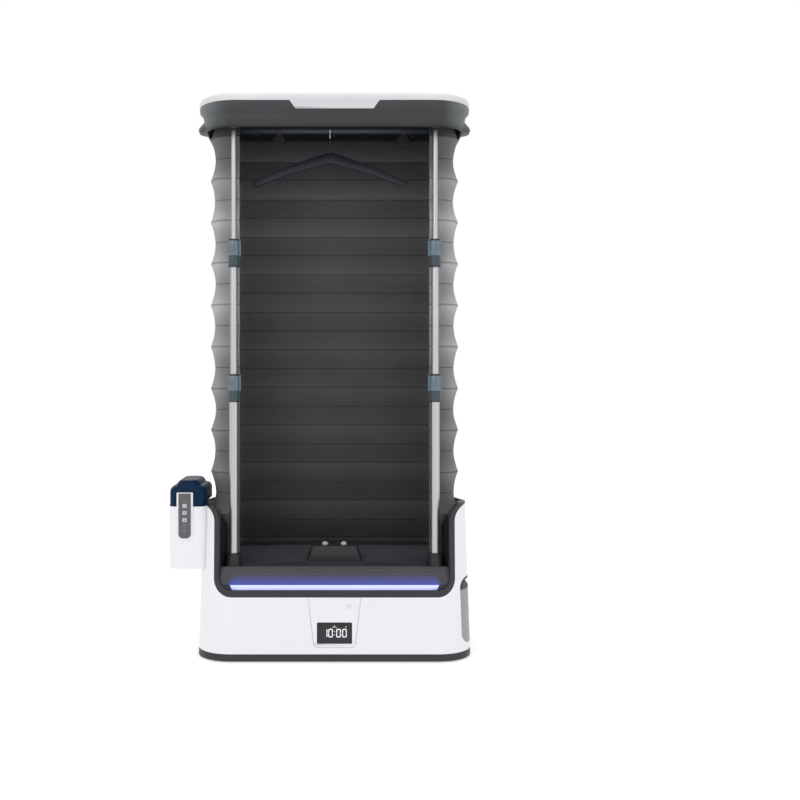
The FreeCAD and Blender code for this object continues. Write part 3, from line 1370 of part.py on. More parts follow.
def build_pump(boiler_inlet_z):
    """Water pump on its cradle, and the two water hoses."""
    x0 = PUMP_X - PUMP_LENGTH / 2
    x1 = PUMP_X + PUMP_LENGTH / 2
    z = FLOOR_TOP + PUMP_FOOT + PUMP_R
    nipple = 8.0
    pump = fused(
        rod_x(x0, x1, PUMP_Y, z, PUMP_R),
        box(x0 + 10, x1 - 10, PUMP_Y - PUMP_R, PUMP_Y + PUMP_R, FLOOR_TOP, z),
        rod_x(x0 - nipple, x0 + 1, PUMP_Y, z, 4),
        rod_x(x1 - 1, x1 + nipple, PUMP_Y, z, 4),
    )
    spigot_z = POD_BOTTOM + POD_WALL + SEAT_HEIGHT / 2
    drop_x = -HALF_W + WALL_DRAFT * spigot_z / WING_TOP + SHELL_WALL + SPIGOT_R + 2
    suction = hose(
        [
            Vector(drop_x, TANK_Y, DECK_BOTTOM - 4),
            Vector(drop_x, TANK_Y, z + HOSE_DROP),
            Vector(x0 - nipple - 44, PUMP_Y, z),
            Vector(x0 - nipple, PUMP_Y, z),
        ],
        HOSE_BEND_R,
        HOSE_R,
        SPIGOT_BORE_R,
    )
    delivery = hose(
        [
            Vector(x1 + nipple, PUMP_Y, z),
            Vector(x1 + nipple + 36, PUMP_Y, z),
            Vector(-BOILER_R - 46, BOILER_Y, boiler_inlet_z),
            Vector(-BOILER_R - 10, BOILER_Y, boiler_inlet_z),
        ],
        HOSE_BEND_R,
        HOSE_R,
        SPIGOT_BORE_R,
    )
    return pump, suction, delivery


def build_board():
    """Main board with its larger parts, laid out on its grid from the front left corner."""
    z = FLOOR_TOP + BOARD_STAND
    x0 = BOARD_X - BOARD_LENGTH / 2
    y0 = BOARD_Y - BOARD_WIDTH / 2
    plate = box(x0, x0 + BOARD_LENGTH, y0, y0 + BOARD_WIDTH, z, z + BOARD_THICK)
    tall = z + BOARD_THICK
    cells = [
        (5, 6, 21, 20, 12),
        (25, 7, 34, 17, 8),
        (39, 7, 48, 17, 8),
        (52, 10, 70, 22, 2.5),
        (35, 33, 65, 38, 4.5),
    ]
    blocks = [
        box(
            x0 + left * BOARD_GRID, x0 + right * BOARD_GRID, y0 + near * BOARD_GRID, y0 + far * BOARD_GRID,
            tall - 0.5, tall + height * BOARD_GRID,
        )
        for left, near, right, far, height in cells
    ]
    for across in (12, 23):
        centre_x = x0 + across * BOARD_GRID
        centre_y = y0 + 31 * BOARD_GRID
        blocks.append(post(centre_x, centre_y, tall - 0.5, tall + 11 * BOARD_GRID, 4 * BOARD_GRID))
    return fused(plate, *blocks)


def build_rear():
    """Rear cover with its grille, the mains inlet and the screws."""
    plate = side_profile(
        [
            (wall_y(REAR_BOTTOM, 0), REAR_BOTTOM),
            (wall_y(REAR_TOP, 0), REAR_TOP),
            (wall_y(REAR_TOP, -REAR_THICK), REAR_TOP),
            (wall_y(REAR_BOTTOM, -REAR_THICK), REAR_BOTTOM),
        ],
        -REAR_HALF,
        REAR_HALF,
    )
    middle_z = (REAR_BOTTOM + REAR_TOP) / 2
    for i in range(REAR_GRILLE_COUNT):
        x = FAN_X - 60 + (i - (REAR_GRILLE_COUNT - 1) / 2) * REAR_GRILLE_PITCH
        slot = front_plate(
            [(x - 2.2, middle_z - 34, 2), (x + 2.2, middle_z - 34, 2), (x + 2.2, middle_z + 34, 2),
             (x - 2.2, middle_z + 34, 2)],
            0,
            HALF_D + 5,
        )
        plate = plate.cut(slot)
    face_y = wall_y(INLET_Z, -REAR_THICK)
    socket = box(
        INLET_X - INLET_HALF_X, INLET_X + INLET_HALF_X, face_y - INLET_LENGTH, face_y - 1.2,
        INLET_Z - INLET_HALF_Z, INLET_Z + INLET_HALF_Z,
    )
    plate = plate.cut(
        box(
            INLET_X - INLET_HALF_X, INLET_X + INLET_HALF_X, face_y - INLET_LENGTH, HALF_D + 5,
            INLET_Z - INLET_HALF_Z, INLET_Z + INLET_HALF_Z,
        )
    )
    flange = box(
        INLET_X - INLET_HALF_X - 3, INLET_X + INLET_HALF_X + 3, face_y - 6.5, face_y - 3.6,
        INLET_Z - INLET_HALF_Z - 3, INLET_Z + INLET_HALF_Z + 3,
    )
    socket = fused(socket, flange)
    mouth = box(
        INLET_X - INLET_HALF_X + 3, INLET_X + INLET_HALF_X - 3, face_y - 16, face_y,
        INLET_Z - INLET_HALF_Z + 3, INLET_Z + INLET_HALF_Z - 3,
    )
    socket = socket.cut(mouth)
    pins = [
        rod_y(INLET_X + dx, face_y - 17, face_y - 5, INLET_Z + dz, 1.6)
        for dx, dz in ((-6, -2), (6, -2), (0, 4))
    ]
    socket = fused(socket, *pins)
    screws = []
    for x, z in rear_screw_spots():
        y = wall_y(z - SCREW_HEAD_R, -REAR_THICK)
        plate = plate.cut(rod_y(x, 0, HALF_D + 5, z, SCREW_R + SCREW_PLAY))
        screws.append(
            fused(
                rod_y(x, y, y + SCREW_HEAD_H, z, SCREW_HEAD_R),
                rod_y(x, y - SCREW_LENGTH, y + 1, z, SCREW_R),
            ).cut(box(x - 3, x + 3, y + SCREW_HEAD_H - 1, y + SCREW_HEAD_H + 1, z - 0.5, z + 0.5))
        )
    return plate, socket, screws


# ---------------------------------------------------------------- build every node
save("bottom_tray", build_tray())
save("rubber_feet", *build_feet())
save("base_shell", build_shell())
save("rim_frame", build_rim_frame())
save("side_liners", *both_sides(build_liner()))
save("deck", build_deck())
save("pole_sockets", *both_sides(build_pole_socket()))

led_bar, led_strip = build_led()
save("led_bar", led_bar)
save("led_strip", led_strip)

panel, window, power_button = build_panel()
save("control_panel", panel)
save("display_window", window)
save("power_button", power_button)

drawer_front, drawer_grip, drawer_tub = build_drawer()
save("drawer_front", drawer_front)
save("drawer_grip", drawer_grip)
save("drawer_tub", drawer_tub)

pod, strip, mode_buttons = build_pod()
save("pod_shell", pod)
save("control_strip", strip)
for place, button in zip(("top", "middle", "bottom"), mode_buttons):
    save("mode_button_" + place, button)

tank, valve, seat, cap = build_tank()
save("water_tank", tank)
save("tank_valve", valve)
save("tank_seat", seat)
save("tank_cap", cap)

lower_bottom = SOCKET_TOP - TUBE_OVERLAP
lower_top = LOWER_CLAMP_Z + CLAMP_HEIGHT * CLAMP_FOOT_SHARE - 3
middle_bottom = lower_top - TUBE_OVERLAP
middle_top = UPPER_CLAMP_Z + CLAMP_HEIGHT * CLAMP_FOOT_SHARE - 3
upper_bottom = middle_top - TUBE_OVERLAP
save("lower_tubes", *[tube(side, lower_bottom, lower_top, LOWER_TUBE_R) for side in (-1, 1)])
save("middle_tubes", *[tube(side, middle_bottom, middle_top, MIDDLE_TUBE_R) for side in (-1, 1)])
save("upper_tubes", *[tube(side, upper_bottom, CEILING_BOTTOM, UPPER_TUBE_R) for side in (-1, 1)])

lower_collar, lower_lever = build_clamp(LOWER_CLAMP_Z, LOWER_TUBE_R, MIDDLE_TUBE_R)
upper_collar, upper_lever = build_clamp(UPPER_CLAMP_Z, MIDDLE_TUBE_R, UPPER_TUBE_R)
save("lower_collars", *both_sides(lower_collar))
save("upper_collars", *both_sides(upper_collar))
save("lower_lever_right", lower_lever)
save("lower_lever_left", mirrored(lower_lever))
save("upper_lever_right", upper_lever)
save("upper_lever_left", mirrored(upper_lever))

save("bellows", swept_section(bellows_section()))
save("bellows_bottom_rail", swept_section(rail_section(0.0, DECK_TOP, DECK_TOP + BOTTOM_RAIL_H)))
top_rail_off = RAIL_WALL / 2 - PLEAT_DEPTH
top_rail_section = rail_section(top_rail_off, CEILING_BOTTOM - TOP_RAIL_H, CEILING_BOTTOM)
save("bellows_top_rail", swept_section(top_rail_section))

lid_frame, lid_top, lid_ceiling = build_lid()
save("lid_frame", lid_frame)
save("lid_top", lid_top)
save("lid_ceiling", lid_ceiling)
rail_outer = rod_x(-RAIL_HALF, RAIL_HALF, 0, RAIL_Z, RAIL_R)
rail_bore = rod_x(-RAIL_HALF - 1, RAIL_HALF + 1, 0, RAIL_Z, RAIL_R - RAIL_TUBE_WALL)
save("hanging_rail", rail_outer.cut(rail_bore))
save("rail_clip_left", build_clip(CLIP_LEFT_X))
save("rail_clip_right", build_clip(CLIP_RIGHT_X))
hanger_hook, hanger_body = build_hanger()
save("hanger_hook", hanger_hook)
save("hanger_body", hanger_body)

boiler, boiler_cover, heating_ring, steam_pipe, boiler_inlet_z = build_boiler()
save("boiler", boiler)
save("boiler_cover", boiler_cover)
save("heating_ring", heating_ring)
nozzle_housing, nozzles = build_nozzles()
save("nozzle_housing", nozzle_housing)
save("steam_nozzles", *nozzles)
fan_housing, fan_wheel, fan_motor, air_heater, air_duct = build_fan()
save("fan_housing", fan_housing)
save("fan_wheel", fan_wheel)
save("fan_motor", fan_motor)
save("air_heater", air_heater)
save("air_duct", air_duct)
pump, suction_hose, delivery_hose = build_pump(boiler_inlet_z)
save("water_pump", pump)
save("hoses", suction_hose, delivery_hose, steam_pipe)
save("main_board", build_board())
rear_cover, mains_inlet, rear_screws = build_rear()
save("rear_cover", rear_cover)
save("mains_inlet", mains_inlet)
save("rear_screws", *rear_screws)
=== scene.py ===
import json
import logging
import math
from dataclasses import dataclass
from enum import Enum
from typing import Callable, Iterable, Iterator, Optional, Sequence, Union

import bmesh
import bpy
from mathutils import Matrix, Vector, noise
from mathutils.bvhtree import BVHTree


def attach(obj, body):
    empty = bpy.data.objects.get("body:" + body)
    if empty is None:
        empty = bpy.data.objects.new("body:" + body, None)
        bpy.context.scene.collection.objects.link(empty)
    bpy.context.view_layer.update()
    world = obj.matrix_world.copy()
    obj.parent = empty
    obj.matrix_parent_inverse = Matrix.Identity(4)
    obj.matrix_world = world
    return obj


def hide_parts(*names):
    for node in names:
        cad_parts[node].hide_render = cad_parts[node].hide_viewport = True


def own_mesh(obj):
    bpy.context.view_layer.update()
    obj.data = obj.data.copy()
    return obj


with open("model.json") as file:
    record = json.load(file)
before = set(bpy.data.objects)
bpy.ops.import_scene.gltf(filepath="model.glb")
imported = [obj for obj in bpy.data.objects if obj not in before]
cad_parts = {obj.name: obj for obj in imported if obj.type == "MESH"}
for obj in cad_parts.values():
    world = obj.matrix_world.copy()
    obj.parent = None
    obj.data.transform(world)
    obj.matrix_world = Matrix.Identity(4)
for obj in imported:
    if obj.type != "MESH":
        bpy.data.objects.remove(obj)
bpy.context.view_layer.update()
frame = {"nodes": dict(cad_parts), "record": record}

LOG = logging.getLogger("steam_cabinet")
MM = 0.001

Socket = bpy.types.NodeSocket
Material = bpy.types.Material
Mesh = bpy.types.Mesh
Work = bmesh.types.BMesh
Face = bmesh.types.BMFace
Piece = bpy.types.Object
Colour = tuple[float, float, float]
Point = tuple[float, float, float]
Points = Sequence[Point]
Pair = tuple[float, float]
Outline = Sequence[Pair]
Layout = Callable[[float, float, float], Point]
fixed = dataclass(frozen=True)

LEFT, RIGHT = (-1.0, 0.0, 0.0), (1.0, 0.0, 0.0)
FRONT, BACK = (0.0, -1.0, 0.0), (0.0, 1.0, 0.0)
DOWN, UP = (0.0, 0.0, -1.0), (0.0, 0.0, 1.0)
SIDES = (-1, 1)
AWAY_FRONT, AWAY_RIGHT = -1.0, 1.0
POLE_X = 0.257
POLE_Y = -0.152


# ---------------------------------------------------------------- shader maths
class Signal:
    """A shader socket that takes part in ordinary arithmetic."""

    def __init__(self, shader: "Shader", socket: Socket) -> None:
        """Wrap a socket of a shader.

        Args:
            shader: The shader that the socket belongs to.
            socket: The output socket.
        """
        self.shader = shader
        self.socket = socket

    def _math(self, operation: str, first: "Number", second: "Number" = 0.0) -> "Signal":
        """Result of one Math node."""
        made = self.shader.node("ShaderNodeMath", {"operation": operation}, {0: first, 1: second})
        return Signal(self.shader, made.outputs[0])

    def __add__(self, other: "Number") -> "Signal":
        """Sum."""
        return self._math("ADD", self, other)

    def __radd__(self, other: "Number") -> "Signal":
        """Reflected sum."""
        return self._math("ADD", other, self)

    def __sub__(self, other: "Number") -> "Signal":
        """Difference."""
        return self._math("SUBTRACT", self, other)

    def __rsub__(self, other: "Number") -> "Signal":
        """Reflected difference."""
        return self._math("SUBTRACT", other, self)

    def __mul__(self, other: "Number") -> "Signal":
        """Product."""
        return self._math("MULTIPLY", self, other)

    def __truediv__(self, other: "Number") -> "Signal":
        """Quotient."""
        return self._math("DIVIDE", self, other)

    def sine(self) -> "Signal":
        """Sine of the value in radians."""
        return self._math("SINE", self)

    def magnitude(self) -> "Signal":
        """Absolute value."""
        return self._math("ABSOLUTE", self)

    def above(self, low: float, high: float) -> "Signal":
        """Smooth step from 0 at low to 1 at high.

        Args:
            low: Value that gives 0.
            high: Value that gives 1; it may lie below low.

        Returns:
            The step as a signal.
        """
        made = self.shader.node(
            "ShaderNodeMapRange",
            {"interpolation_type": "SMOOTHSTEP"},
            {0: self, 1: low, 2: high, 3: 0.0, 4: 1.0},
        )
        return Signal(self.shader, made.outputs[0])


Number = Union[float, Signal]


class Pattern(Enum):
    """Noises of the finishes: features per metre, octaves and, for some, the stretch of the axes."""

    PATCHES = (7.0, 3.0)
    BROAD = (9.0, 3.0)
    SPECKS = (160.0, 2.0)
    SMEARS = (22.0, 4.0)
    UPRIGHT_SMEARS = (22.0, 4.0, (1.0, 1.0, 0.45))
    FINE_GRAIN = (900.0, 2.0)
    MOULD_FLOW = (14.0, 3.0, (1.0, 1.0, 0.3))
    RIPPLE = (60.0, 1.0)
    PITS = (420.0, 4.0)
    STAINS = (18.0, 3.0)
    ORANGE_PEEL = (650.0, 2.0)
    RUBS = (30.0, 3.0, (0.3, 1.0, 1.0))
    BLOOM = (40.0, 4.0)
    PORES = (700.0, 2.0)
    SLUB = (90.0, 3.0, (1.0, 1.0, 0.2))
    CLOTH_PATCHES = (6.0, 4.0)
    CRUSH = (24.0, 5.0, (0.5, 0.5, 1.0))
    FROST = (500.0, 2.0)
    CHIP_SKIN = (400.0, 2.0)


def opaque(colour: Colour) -> tuple[float, float, float, float]:
    """A colour with full alpha."""
    return (*colour, 1.0)


def shade(colour: Colour, factor: float) -> Colour:
    """A colour made lighter or darker."""
    return tuple(min(1.0, channel * factor) for channel in colour)


class NodeTree:
    """A tree of nodes under construction."""

    tree: bpy.types.NodeTree

    def join(self, value: object, socket: Socket) -> None:
        """Feed a socket from a signal or another socket, or set its value.

        Args:
            value: Signal, socket or plain value.
            socket: The socket to feed.
        """
        source = value.socket if isinstance(value, Signal) else value
        if isinstance(source, Socket):
            self.tree.links.new(source, socket)
        else:
            socket.default_value = opaque(source) if socket.type == "RGBA" else source

    def node(self, kind: str, settings: Optional[dict] = None, inputs: Optional[dict] = None) -> bpy.types.Node:
        """Add a node, set it up, then fill its sockets.

        Args:
            kind: Blender's type name of the node.
            settings: Properties to set first.
            inputs: Socket name or number to value, signal or socket.

        Returns:
            The node.
        """
        made = self.tree.nodes.new(kind)
        for key, value in (settings or {}).items():
            setattr(made, key, value)
        for key, value in (inputs or {}).items():
            self.join(value, made.inputs[key])
        return made


class Shader(NodeTree):
    """A material under construction around one Principled surface."""

    MIX_SHARE, MIX_FIRST, MIX_SECOND, MIX_RESULT = 0, 6, 7, 2

    def __init__(self, name: str) -> None:
        """Start an empty material.

        Args:
            name: The material's name.
        """
        self.material = bpy.data.materials.new(name)
        self.material.use_nodes = True
        self.tree = self.material.node_tree
        self.tree.nodes.clear()
        self.output = self.tree.nodes.new("ShaderNodeOutputMaterial")
        self.surface = self.tree.nodes.new("ShaderNodeBsdfPrincipled")
        self.tree.links.new(self.surface.outputs[0], self.output.inputs[0])

    def place(self, stretch: Point = (1.0, 1.0, 1.0)) -> Socket:
        """Object coordinates, stretched along the axes."""
        coordinates = self.node("ShaderNodeTexCoord").outputs["Object"]
        return self.node("ShaderNodeMapping", {}, {"Vector": coordinates, "Scale": stretch}).outputs[0]

    def axis(self, letter: str) -> Signal:
        """One object coordinate in metres."""
        split = self.node("ShaderNodeSeparateXYZ", {}, {0: self.place()})
        return Signal(self, split.outputs[letter])

    def attribute(self, name: str) -> Signal:
        """A number stored on the mesh."""
        return Signal(self, self.node("ShaderNodeAttribute", {"attribute_name": name}).outputs["Fac"])

    def cloud(self, scale: float, detail: float = 2.0, stretch: Point = (1.0, 1.0, 1.0)) -> Signal:
        """Soft noise between 0 and 1.

        Args:
            scale: Features per metre.
            detail: Octaves.
            stretch: Scale of the coordinates before the noise.

        Returns:
            The noise value.
        """
        inputs = {"Vector": self.place(stretch), "Scale": scale, "Detail": detail}
        return Signal(self, self.node("ShaderNodeTexNoise", {}, inputs).outputs[0])

    def pattern(self, kind: Pattern) -> Signal:
        """One of the named noises."""
        return self.cloud(*kind.value)

    def blend(self, share: Number, first: object, second: object, mode: str = "MIX") -> Socket:
        """Mix two colours.

        Args:
            share: 0 gives the first, 1 the second.
            first: Colour or socket.
            second: Colour or socket.
            mode: Blender's name of the way they mix.

        Returns:
            The mixed colour's socket.
        """
        inputs = {self.MIX_SHARE: share, self.MIX_FIRST: first, self.MIX_SECOND: second}
        made = self.node("ShaderNodeMix", {"data_type": "RGBA", "blend_type": mode}, inputs)
        return made.outputs[self.MIX_RESULT]

    def multiply(self, first: object, second: object) -> Socket:
        """Product of two colours."""
        return self.blend(1.0, first, second, "MULTIPLY")

    def mottle(self, share: Number, colour: Colour, first: float, second: float) -> Socket:
        """Mix two tones of a colour."""
        return self.blend(share, shade(colour, first), shade(colour, second))

    def tone(self, stops: Iterable[Pair], level: Signal) -> Socket:
        """Grey that follows a level.

        Args:
            stops: Level and brightness of each stop.
            level: The level, from 0 to 1.

        Returns:
            The grey's socket.
        """
        made = self.node("ShaderNodeValToRGB", {}, {0: level})
        elements = made.color_ramp.elements
        for number, (place, grey) in enumerate(stops):
            element = elements[number] if number < len(elements) else elements.new(place)
            element.position, element.color = place, (grey, grey, grey, 1.0)
        return made.outputs[0]

    def relief(self, height: Signal, depth_mm: float, base: Optional[Socket] = None) -> Socket:
        """Bump from a height between 0 and 1.

        Args:
            height: The height signal.
            depth_mm: Height of 1 in millimetres.
            base: Normal to build on.

        Returns:
            The normal's socket.
        """
        inputs = {"Height": height, "Strength": 1.0, "Distance": depth_mm * MM}
        if base is not None:
            inputs["Normal"] = base
        return self.node("ShaderNodeBump", {}, inputs).outputs[0]

    def paint(self, **sockets: object) -> Material:
        """Fill the surface's sockets and return the material.

        Args:
            sockets: Socket names with underscores for spaces, and their values.

        Returns:
            The finished material.
        """
        for key, value in sockets.items():
            self.join(value, self.surface.inputs[key.replace("_", " ")])
        return self.material


# ---------------------------------------------------------------- finishes
@fixed
class MouldedPlastic:
    """Injection-moulded plastic with a spark-eroded grain."""

    label: str
    colour: Colour
    roughness: float = 0.4
    grain_per_m: float = 900.0
    grain_mm: float = 0.03
    mottle: float = 0.06
    coat: float = 0.0
    gloss: float = 0.5
    specks: float = 0.3
    smears: float = 0.16
    coat_roughness: float = 0.12

    def make(self) -> Material:
        """Build the material.

        Returns:
            The material.
        """
        shader = Shader(self.label)
        patches = shader.pattern(Pattern.PATCHES) * (1 - self.specks)
        share = patches + shader.pattern(Pattern.SPECKS) * self.specks
        colour = shader.mottle(share, self.colour, 1 - self.mottle, 1 + self.mottle)
        smears = shader.pattern(Pattern.UPRIGHT_SMEARS) - 0.5
        return shader.paint(
            Base_Color=colour,
            Roughness=self.roughness + smears * self.smears,
            Normal=shader.relief(shader.cloud(self.grain_per_m), self.grain_mm),
            Coat_Weight=self.coat,
            Coat_Roughness=self.coat_roughness,
            Specular_IOR_Level=self.gloss,
        )


@fixed
class TonedPlastic:
    """Grained plastic whose tone changes gently with height as painted shade and highlights, and whose ends are
    painted lighter.
    """

    label: str
    colour: Colour
    stops: tuple[Pair, ...]
    low: float
    high: float
    side_painted_light: Colour
    side_x: float
    roughness: float = 0.40
    gloss: float = 0.3
    side_fade: float = 0.05
    grain_mm: float = 0.04
    smears: float = 0.16
    pale: Colour = (1.1, 1.1, 1.1)
    dull: Colour = (0.9, 0.9, 0.9)

    def make(self) -> Material:
        """Build the material.

        Returns:
            The material.
        """
        shader = Shader(self.label)
        # painted shade and highlights by height
        tone = shader.tone(self.stops, (shader.axis("Z") - self.low) / (self.high - self.low))
        # painted light: the ends are lighter
        sides = shader.axis("X").magnitude().above(self.side_x, self.side_x + self.side_fade)
        base = shader.blend(sides, self.colour, self.side_painted_light)
        mottle = shader.blend(shader.pattern(Pattern.PATCHES), self.dull, self.pale)
        smears = shader.pattern(Pattern.SMEARS) - 0.5
        return shader.paint(
            Base_Color=shader.multiply(shader.multiply(base, mottle), tone),
            Roughness=self.roughness + smears * self.smears,
            Normal=shader.relief(shader.pattern(Pattern.FINE_GRAIN), self.grain_mm),
            Specular_IOR_Level=self.gloss,
        )


@fixed
class TintedPlastic:
    """Clear or tinted plastic that lets some light through."""

    label: str
    colour: Colour
    clearness: float
    roughness: float = 0.12
    coat: float = 0.4
    gloss: float = 0.5
    streaks: float = 0.08
    ripple_mm: float = 0.05
    index: float = 1.5
    coat_roughness: float = 0.05

    def make(self) -> Material:
        """Build the material.

        Returns:
            The material.
        """
        shader = Shader(self.label)
        flow = shader.pattern(Pattern.MOULD_FLOW)
        return shader.paint(
            Base_Color=shader.mottle(flow, self.colour, 0.8, 1.25),
            Roughness=self.roughness + flow * self.streaks,
            Normal=shader.relief(shader.pattern(Pattern.RIPPLE), self.ripple_mm),
            Transmission_Weight=self.clearness,
            IOR=self.index,
            Coat_Weight=self.coat,
            Coat_Roughness=self.coat_roughness,
            Specular_IOR_Level=self.gloss,
        )


@fixed
class DrawnMetal:
    """Metal with fine lines along one direction."""

    label: str
    colour: Colour
    roughness: float = 0.28
    stretch: Point = (1.0, 1.0, 0.02)
    line_mm: float = 0.012
    lines_per_m: float = 1400.0
    lined: float = 0.6
    uneven: float = 0.2

    def make(self) -> Material:
        """Build the material.

        Returns:
            The material.
        """
        shader = Shader(self.label)
        lines = shader.cloud(self.lines_per_m, stretch=self.stretch)
        share = lines * self.lined + shader.pattern(Pattern.BROAD) * (1 - self.lined)
        return shader.paint(
            Base_Color=shader.mottle(share, self.colour, 0.86, 1.08),
            Metallic=1.0,
            Roughness=self.roughness + (lines - 0.5) * self.uneven,
            Normal=shader.relief(lines, self.line_mm),
        )


@fixed
class CastMetal:
    """Cast metal with a blasted skin."""

    label: str
    colour: Colour
    roughness: float = 0.55
    metallic: float = 0.9
    pit_mm: float = 0.12
    uneven: float = 0.2

    def make(self) -> Material:
        """Build the material.

        Returns:
            The material.
        """
        shader = Shader(self.label)
        pits = shader.pattern(Pattern.PITS)
        stains = shader.pattern(Pattern.STAINS)
        return shader.paint(
            Base_Color=shader.mottle(stains, self.colour, 0.75, 1.1),
            Metallic=self.metallic,
            Roughness=self.roughness + (pits - 0.5) * self.uneven,
            Normal=shader.relief(pits, self.pit_mm),
        )


@fixed
class PowderCoat:
    """Powder coat with its fine orange peel."""

    label: str
    colour: Colour
    roughness: float = 0.42
    rubbed: float = 0.14
    peel_mm: float = 0.05

    def make(self) -> Material:
        """Build the material.

        Returns:
            The material.
        """
        shader = Shader(self.label)
        rubs = shader.pattern(Pattern.RUBS)
        return shader.paint(
            Base_Color=shader.mottle(rubs, self.colour, 0.8, 1.5),
            Roughness=self.roughness + (rubs - 0.5) * self.rubbed,
            Normal=shader.relief(shader.pattern(Pattern.ORANGE_PEEL), self.peel_mm),
        )


@fixed
class SoftRubber:
    """Rubber or silicone with a dull bloom."""

    label: str
    colour: Colour
    roughness: float = 0.7
    uneven: float = 0.15
    pore_mm: float = 0.05

    def make(self) -> Material:
        """Build the material.

        Returns:
            The material.
        """
        shader = Shader(self.label)
        bloom = shader.pattern(Pattern.BLOOM)
        return shader.paint(
            Base_Color=shader.mottle(bloom, self.colour, 0.85, 1.25),
            Roughness=self.roughness + (bloom - 0.5) * self.uneven,
            Normal=shader.relief(shader.pattern(Pattern.PORES), self.pore_mm),
        )


@fixed
class PleatedCloth:
    """Coated woven cloth: threads follow the cloth; painted shade makes the folds darker than the ridges and
    darkens the creases and the cloth towards its bottom and top, and painted light brightens its side corners.
    """

    label: str
    ridge: Colour
    valley: Colour
    # painted shade: tone by height, darker towards the base and under the lid
    height_shade: tuple[Pair, ...]
    corner_x: float
    tallest: float = 1.4
    threads_per_m: float = 900.0
    # painted shade: weight of the fold depth in the tone, so the folds take the dark valley colour and the
    # ridges the pale one
    tone_mix: float = 0.45
    patched: float = 0.35
    slubbed: float = 0.14
    # painted light: factor that makes the side corners lighter
    corner_painted_light: Colour = (1.35, 1.35, 1.35)
    # darkness of the lines at the ridges and valley seams: seam colour and painted crease shadow
    seam_and_crease_shade: float = 0.6
    crease_mm: float = 3.2
    thread_mm: float = 0.12
    roughness: float = 0.82
    sheen: float = 0.15
    sheen_roughness: float = 0.4

    def _threads(self, shader: Shader, direction: str) -> Signal:
        """Wave from 0 to 1 across the threads that lie across a direction of the cloth."""
        return (shader.attribute(direction) * (self.threads_per_m * math.tau)).sine() * 0.5 + 0.5

    def make(self) -> Material:
        """Build the material.

        Returns:
            The material.
        """
        shader = Shader(self.label)
        fold = shader.attribute("fold")
        weave = self._threads(shader, "along") * self._threads(shader, "up")
        slub = shader.pattern(Pattern.SLUB)
        patches = shader.pattern(Pattern.CLOTH_PATCHES)
        # painted shade: the folds are darker than the ridges
        share = (1.0 - fold) * self.tone_mix + patches * self.patched + slub * self.slubbed
        plain = shader.blend(share, self.valley, self.ridge)
        # painted shade: the cloth darkens towards its bottom and towards the lid
        stops = [(height / self.tallest, grey) for height, grey in self.height_shade]
        tone = shader.tone(stops, shader.axis("Z") / self.tallest)
        # painted light: the cloth is lighter round its side corners
        corner = shader.axis("X").magnitude().above(self.corner_x - 0.02, self.corner_x + 0.012)
        plain = shader.multiply(plain, shader.blend(corner, (1.0, 1.0, 1.0), self.corner_painted_light))
        # dark lines at the ridges and valley seams, partly seam colour and partly painted crease shadow
        seam = fold.above(0.10, 0.03) + fold.above(1.01, 1.05)
        seamed = shader.blend(seam * self.seam_and_crease_shade, plain, shade(self.valley, 0.35))
        creases = shader.relief(shader.pattern(Pattern.CRUSH), self.crease_mm)
        return shader.paint(
            Base_Color=shader.multiply(seamed, tone),
            Roughness=self.roughness - patches * 0.12,
            Normal=shader.relief(weave + slub * 0.4, self.thread_mm, creases),
            Sheen_Weight=self.sheen,
            Sheen_Roughness=self.sheen_roughness,
        )


@fixed
class Glow:
    """A lit diffuser or a lit mark."""

    label: str
    colour: Colour
    strength: float
    edge: Colour = (0.35, 0.35, 0.9)
    half_width: float = 10.0
    point: float = 0.0
    top: float = 0.0
    edge_share: float = 0.8
    frost_mm: float = 0.03

    def make(self) -> Material:
        """Build the material.

        Returns:
            The material.
        """
        shader = Shader(self.label)
        spread = shader.axis("X").magnitude() + (self.top - shader.axis("Z")) * self.point
        reach = spread.above(self.half_width * 0.93, self.half_width)
        hot = shader.blend(reach * self.edge_share, self.colour, self.edge)
        frost = shader.pattern(Pattern.FROST)
        return shader.paint(
            Base_Color=shader.mottle(frost, self.colour, 0.8, 0.9),
            Emission_Color=hot,
            Emission_Strength=self.strength,
            Roughness=0.45 + frost * 0.1,
            Normal=shader.relief(frost, self.frost_mm),
        )


